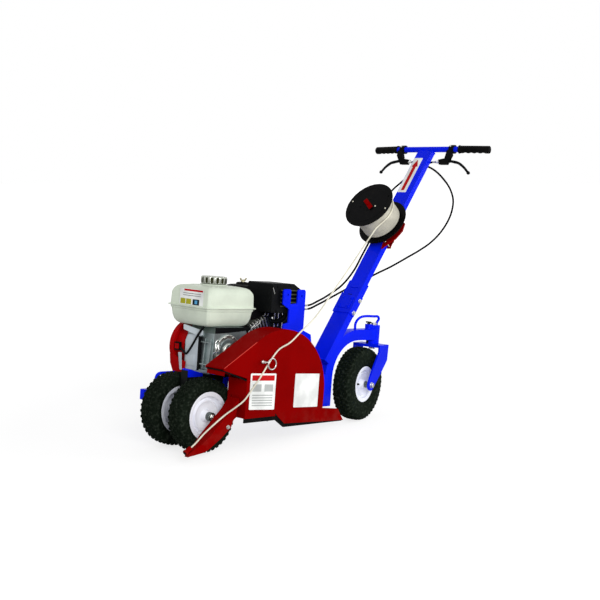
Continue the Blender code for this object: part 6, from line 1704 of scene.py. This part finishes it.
# %% [markdown]
# The guard is one folded sheet. A light red ridge along its hood's fold is painted highlight,
# black strips under its lower edge and its hood are painted shadow, and two thin panels sit on
# its face: one has a red strip over grey bars, and the other is plain.

# %% Guard panels and edges
PANEL_LEFT = [(0.0925, 0.0370), (0.2290, 0.0290), (0.2290, 0.1680), (0.0920, 0.1740)]
PANEL_RIGHT = [(0.3370, 0.0300), (0.4780, 0.0240), (0.4780, 0.1570), (0.3370, 0.1630)]


def panel_plate(outline, start, thickness, radius=0.004):
    """A thin plate on the guard's near face, start metres proud of it."""
    return prism(outline, GUARD_FACE - start - thickness, GUARD_FACE - start, "Y", radius)


def inside_panel(outline, left, low, right, high):
    """A four-sided patch of a panel, given by shares of its width and height."""
    a, b, c, d = (np.array(corner) for corner in outline)
    shares = oblong((left, right), (low, high))
    return [tuple(a * (1 - u) * (1 - v) + b * u * (1 - v) + c * u * v + d * (1 - u) * v) for u, v in shares]


def guard_edge_shadow():
    """A black strip along the guard's lower edge, hung from its near wall: painted shadow under the guard."""
    upper = [(0.0765, 0.0040), (0.2500, 0.0040), (0.2920, -0.0285), (0.6400, -0.0410)]
    lower = [(0.6400, -0.0460), (0.2920, -0.0450), (0.2440, -0.0140), (0.0765, -0.0140)]
    return prism(upper + lower, GUARD_FACE + 0.0032, GUARD_FACE + 0.0092)


def hood_edge_shadow():
    """A black tube under the hood's edge, along its front and down its near side: painted shadow where the
    hood overhangs.
    """
    y = GUARD_FACE + 0.0030
    return straight_rod([(-0.0445, -0.1380, 0.1880), (-0.0445, y, 0.1880), (0.0730, y, 0.1475)], 0.0025)


def fold_highlight():
    """A painted highlight along the ridge where the hood's roof folds into its near face."""
    y = GUARD_FACE + 0.0005
    return straight_rod([(-0.0460, y, 0.1975), (0.1135, y, 0.2900)], 0.0011, 8, 0.006)


panels = [panel_plate(outline, 0.0002, 0.0005) for outline in (PANEL_LEFT, PANEL_RIGHT)]
piece_of("guard_panels", panels, LABEL)
strip = panel_plate(inside_panel(PANEL_LEFT, 0.06, 0.80, 0.94, 0.95), 0.0007, 0.0002, 0.002)
piece_of("panel_strip", strip, LABEL_RED)
patches = [(0.10, low, 0.90, low + 0.035) for low in (0.10, 0.17, 0.24, 0.31, 0.38)]
patches += [(0.10, 0.50, 0.44, 0.70), (0.56, 0.50, 0.90, 0.70)]
bars = [panel_plate(inside_panel(PANEL_LEFT, *patch), 0.0007, 0.0002, 0.0008) for patch in patches]
piece_of("panel_bars", bars, LABEL_GREY)
# Black strips under the guard and the hood: painted shadow.
piece_of("guard_edge_shadow", guard_edge_shadow(), BLACK, bevel=0.0008)
piece_of("hood_edge_shadow", hood_edge_shadow(), BLACK)
flange = block((-0.0425, -0.0405), (-0.2320, -0.1385), (0.1690, 0.1850))
piece_of("hood_flange", flange, RED, bevel=0.0006)
piece_of("fold_highlight", fold_highlight(), FOLD_HIGHLIGHT)

# %% [markdown]
# The wire is held to the guard by an eye: a ring welded to a stud, with a ball-headed pin on a
# short bar in front of it. They are bright steel, bent and welded by hand, so a little bead
# shows where each of them meets the sheet.

# %% Wire eye
EYE_PLANE = GUARD_FACE - WIRE_RADIUS * 2.0 - 0.0040
EYE_PLACE = (0.192, EYE_PLANE, 0.207)
BALL_PLACE = (0.139, EYE_PLANE, 0.217)
STUD_PLACE = (0.152, GUARD_FACE - 0.0002, 0.215)


def upright(points):
    """Points of a flat ring, stood up so that its second axis is Z."""
    return points[:, [0, 2, 1]]


def wire_eye():
    """The ring, the ball, the bar between them and the stud that carries them off the guard."""
    ring = upright(ring_path(0.021, 73)[:-1]) + np.array(EYE_PLACE)
    stud = [(0.0, 0.0), (0.0, 0.0056), (0.0012, 0.0056), (0.0020, 0.0045), (0.0120, 0.0045), (0.0132, 0.0034)]
    return [
        swept(ring, 0.0026, 14, closed=True),
        moved(ball(0.0062, 22, 32, "X"), shift(*BALL_PLACE)),
        straight_rod([(0.142, EYE_PLANE, 0.217), (0.1725, EYE_PLANE, 0.2135)], 0.0023, 14),
        moved(turned([*stud, (0.0132, 0.0)], 28), pointing("-Y", STUD_PLACE)),
    ]


piece_of("wire_guide", wire_eye(), STEEL, replaces="wire_eye")
root = upright(ring_path(0.0056, 33)) + np.array(STUD_PLACE) - np.array([0.0, 0.0004, 0.0])
piece_of("guide_weld", weld(root, 0.0012, 0.0008), STEEL)

# %% [markdown]
# The boot hangs from a bolt through the guard's lug. Its tip is a short tube with a rolled ring
# round its mouth, where the wire is let into the ground, and a black bush lines it.

# %% Boot bolt and tip
BOOT_PIVOT = (0.014, -0.026)
BOOT_Y = (-0.212, -0.158)
TIP_START = np.array([-0.1396, -0.185, -0.0949])
TIP_END = np.array([-0.1648, -0.185, -0.1112])


def along_tip(profile):
    """A profile turned about the tip tube's axis: distance past its end, and radius."""
    axis = (TIP_END - TIP_START) / np.linalg.norm(TIP_END - TIP_START)
    across = np.array([0.0, 1.0, 0.0])
    cosine, sine = circle(40)
    profile = np.array(profile)
    spoke = across * cosine[:, None] + np.cross(axis, across) * sine[:, None]
    grid = TIP_END + axis * profile[:, 0][:, None, None] + spoke * profile[:, 1][:, None, None]
    return shell_of(grid, closed=True)


def boot_cheek(sign):
    """A side of the boot, led inwards with its taper down to the tip."""
    outline = [(-0.0700, -0.0560), (-0.1010, -0.0830), (-0.1440, -0.1110), (-0.1440, -0.1235)]
    points, faces = prism([*outline, (-0.0930, -0.1125), (-0.0700, -0.0985)], -0.0270, -0.0232)
    taper = np.clip((-0.0750 - points[:, 0]) / 0.0670, 0.0, 1.0) * 0.0165
    points = points + taper[:, None] * np.array([0.0, 1.0, 0.0])
    return moved(mirrored((points, faces), sign), shift(y=(BOOT_Y[0] + BOOT_Y[1]) / 2.0))


bolt = cross_bolt(BOOT_Y[0] - GAP, BOOT_Y[1] + GAP, 0.0049, 0.0120, 0.0080, 0.0068)
bolt = moved(bolt, shift(BOOT_PIVOT[0], 0.0, BOOT_PIVOT[1]))
piece_of("boot_hex_bolt", bolt, STEEL, replaces="boot_bolt", bevel=0.0004)
cheeks = [boot_cheek(sign) for side, sign in SIDES]
piece_of("boot_cheeks", cheeks, RED, bevel=0.0004, body="boot")
ring = [(-0.0080, 0.0092), (-0.0070, 0.0106), (-0.0030, 0.0112), (0.0002, 0.0104), (0.0010, 0.0090)]
ring = along_tip([*ring, (0.0006, 0.0060), (-0.0080, 0.0060)])
piece_of("boot_tip_ring", ring, RED, bevel=0.0004, body="boot")
bush = along_tip([(-0.0100, 0.0059), (0.0022, 0.0059), (0.0030, 0.0050), (0.0030, 0.0034), (-0.0100, 0.0034)])
piece_of("boot_tip_bush", bush, BLACK, body="boot")

# %% [markdown]
# The rear end is lifted by a loop of bent rod, which is swept. The pins of the caster are round
# stock with chamfered ends and a ring pull on the lock pin, and their solids are copied.

# %% Loop, kingpin and lock pin
ARM_TOP = 0.3253
HANDLE_RISE = 0.054


def lifting_loop():
    """The loop's route: up from the arm, over, and down to the caster's housing."""
    foot, head = 0.764, 0.908
    top = ARM_TOP + HANDLE_RISE - 0.0003
    housing = 0.3422
    route = [(foot, ARM_TOP + 0.0002), (foot, ARM_TOP + 0.0100), (foot, ARM_TOP + 0.0200)]
    route += [(foot + 0.010, top - 0.0170), (foot + 0.030, top - 0.0045), (foot + 0.052, top)]
    route += [(head - 0.012, top), (head, top), (head + 0.0100, top - 0.0045), (head + 0.0125, top - 0.0120)]
    route += [(head + 0.0060, housing + 0.0160), (head, housing + 0.0080), (head, housing + 0.0002)]
    return bent_rod([(x, LINE_Y, z) for x, z in route], 0.0055, 24, 0.002)


piece_of("lifting_loop", lifting_loop(), BLUE, replaces="carry_handle", bevel=0.0005)
rounded_copy("kingpin", STEEL, 0.0008)
rounded_copy("lock_pin", BLACK_PAINT, 0.0008)

# %% [markdown]
# Under the deck a belt turns the rotor. Little of it shows, but it is lit through the openings,
# so each part gets its own metal or rubber and a soft edge.

# %% Drive and rotor
rounded_copies((
    (CAST, "cast_aluminium", {"drive_pulley": 0.0008, "driven_pulley": 0.0008}),
    (BELT, "belt_rubber", {"drive_belt": 0.0012}),
    (STEEL, "bright_steel", {"crankshaft": 0.0010, "rotor_shaft": 0.0010}),
    (CAST, "cast_aluminium", {"shaft_bearing_near": 0.0012, "shaft_bearing_far": 0.0012}),
    (BLADE, "dark_steel", {"trench_blade": 0.0006}),
))

# %% [markdown]
# Welds tie the frame together. They are drawn where a seam shows: round the column's socket,
# along the bracket's foot, and where the struts meet the deck. Black strips along the deck's
# front edge and under its near edge are painted shade, and a small gusset hangs under its near side.

# %% Frame welds
frame_welds = [
    weld([(0.3960, -0.1184, 0.1452), (0.5190, -0.1184, 0.1452)], 0.0022),
    weld([(0.0560, -0.0600, 0.1358), (0.3390, -0.0600, 0.1358)], 0.0016),
]
piece_of("frame_welds", frame_welds, BLUE)
socket = weld([(-0.0175, -0.0425, -0.0990), (-0.0175, 0.0425, -0.0990)], 0.0020)
piece_of("socket_weld", socket, BLUE, column)
gusset = prism([(0.1160, 0.0990), (0.1420, 0.0990), (0.1480, 0.1358), (0.1160, 0.1358)], -0.0625, -0.0585)
piece_of("deck_gusset", gusset, BLUE, bevel=0.0008)
# Black blocks and a skirt at the deck's front and under its near edge: painted shade where the deck is in
# shadow.
below = [(0.064, 0.1358), (0.116, 0.1358), (0.116, 0.096), (0.110, 0.099), (0.090, 0.117), (0.072, 0.129)]
deck_shade = [
    block((0.0480, 0.0640), (-0.0620, -0.0005), (0.1340, 0.1466)),
    block((0.0520, 0.1500), (-0.0630, -0.0560), (0.1340, 0.1462)),
    prism(below, -0.0625, -0.0590),
]
piece_of("deck_painted_shade", deck_shade, BLACK, bevel=0.0015)

# %% [markdown]
# The studio is plain: a white floor that keeps a soft shadow, a white surround and two soft
# lamps. The floor is lit as a pale surface and shines a little for the camera alone, so the
# background is white without more light on the machine.

# %% Floor and light
FLOOR_HALF = 40.0
FLOOR_SEEN = (0.34, 0.34, 0.34, 1.0)
FLOOR_LIT = (0.80, 0.80, 0.80, 1.0)
GLOW = 0.76
GLOW_START, GLOW_END = 1.2, 4.5
AMBIENT = 0.50
KEY = {"place": (-2.6, -4.2, 2.4), "size": 2.4, "watts": 150.0}
FILL = {"place": (3.0, -3.2, 2.0), "size": 3.0, "watts": 60.0}
LAMP_AIM = (0.0, 0.0, 0.45)


def plain_floor():
    """A large flat sheet, brighter for camera rays than for the machine."""
    finish = Finish("pale floor")
    away = finish.node("VectorMath", {"operation": "LENGTH"}, {0: finish.spot()}, "Value")
    reach = {"Value": away, "From Min": GLOW_START, "From Max": GLOW_END, "To Min": GLOW, "To Max": 1.0}
    glow = finish.node("Emission", {}, {"Strength": finish.node("MapRange", {}, reach)})
    seen = finish.node("BsdfDiffuse", {}, {"Color": FLOOR_SEEN})
    lit = finish.node("BsdfDiffuse", {}, {"Color": FLOOR_LIT})
    both = finish.node("AddShader", {}, {0: seen, 1: glow})
    camera_ray = finish.node("LightPath", {}, {}, "Is Camera Ray")
    mixed = finish.node("MixShader", {}, {0: camera_ray, 1: lit, 2: both})
    finish.feed(finish.tree.nodes["Material Output"].inputs["Surface"], mixed)
    finish.tree.nodes.remove(finish.shader)
    mesh = bpy.data.meshes.new("floor")
    limits = (-FLOOR_HALF, FLOOR_HALF)
    mesh.from_pydata([(x, y, 0.0) for x, y in oblong(limits, limits)], [], [(0, 1, 2, 3)])
    mesh.materials.append(finish.material)
    floor = bpy.data.objects.new("floor", mesh)
    bpy.context.scene.collection.objects.link(floor)


def surround():
    """White to the camera and in reflections, and a soft even light for the rest."""
    world = bpy.data.worlds.new("studio")
    bpy.context.scene.world = world
    world.use_nodes = True
    tree = world.node_tree
    back = tree.nodes["Background"]
    back.inputs["Color"].default_value = (1.0, 1.0, 1.0, 1.0)
    path = tree.nodes.new("ShaderNodeLightPath")
    kinds = ("Is Camera Ray", "Is Glossy Ray", "Is Transmission Ray")
    seen = path.outputs[kinds[0]]
    for kind in kinds[1:]:
        either = tree.nodes.new("ShaderNodeMath")
        either.operation = "MAXIMUM"
        tree.links.new(seen, either.inputs[0])
        tree.links.new(path.outputs[kind], either.inputs[1])
        seen = either.outputs[0]
    strength = tree.nodes.new("ShaderNodeMapRange")
    strength.inputs["To Min"].default_value = AMBIENT
    strength.inputs["To Max"].default_value = 1.0
    tree.links.new(seen, strength.inputs["Value"])
    tree.links.new(strength.outputs[0], back.inputs["Strength"])


def lamp(name, place, size, watts):
    """A square area lamp that looks at the middle of the machine."""
    data = bpy.data.lights.new(name, "AREA")
    data.size = size
    data.energy = watts
    holder = bpy.data.objects.new(name, data)
    bpy.context.scene.collection.objects.link(holder)
    holder.location = place
    aim = np.array(LAMP_AIM) - np.array(place)
    heading = math.atan2(aim[0], -aim[1])
    tilt = math.atan2(math.hypot(aim[0], aim[1]), -aim[2])
    holder.rotation_euler = (tilt, 0.0, heading + math.pi)


plain_floor()
surround()
lamp("key lamp", **KEY)
lamp("fill lamp", **FILL)
bpy.context.scene.view_settings.view_transform = "Standard"
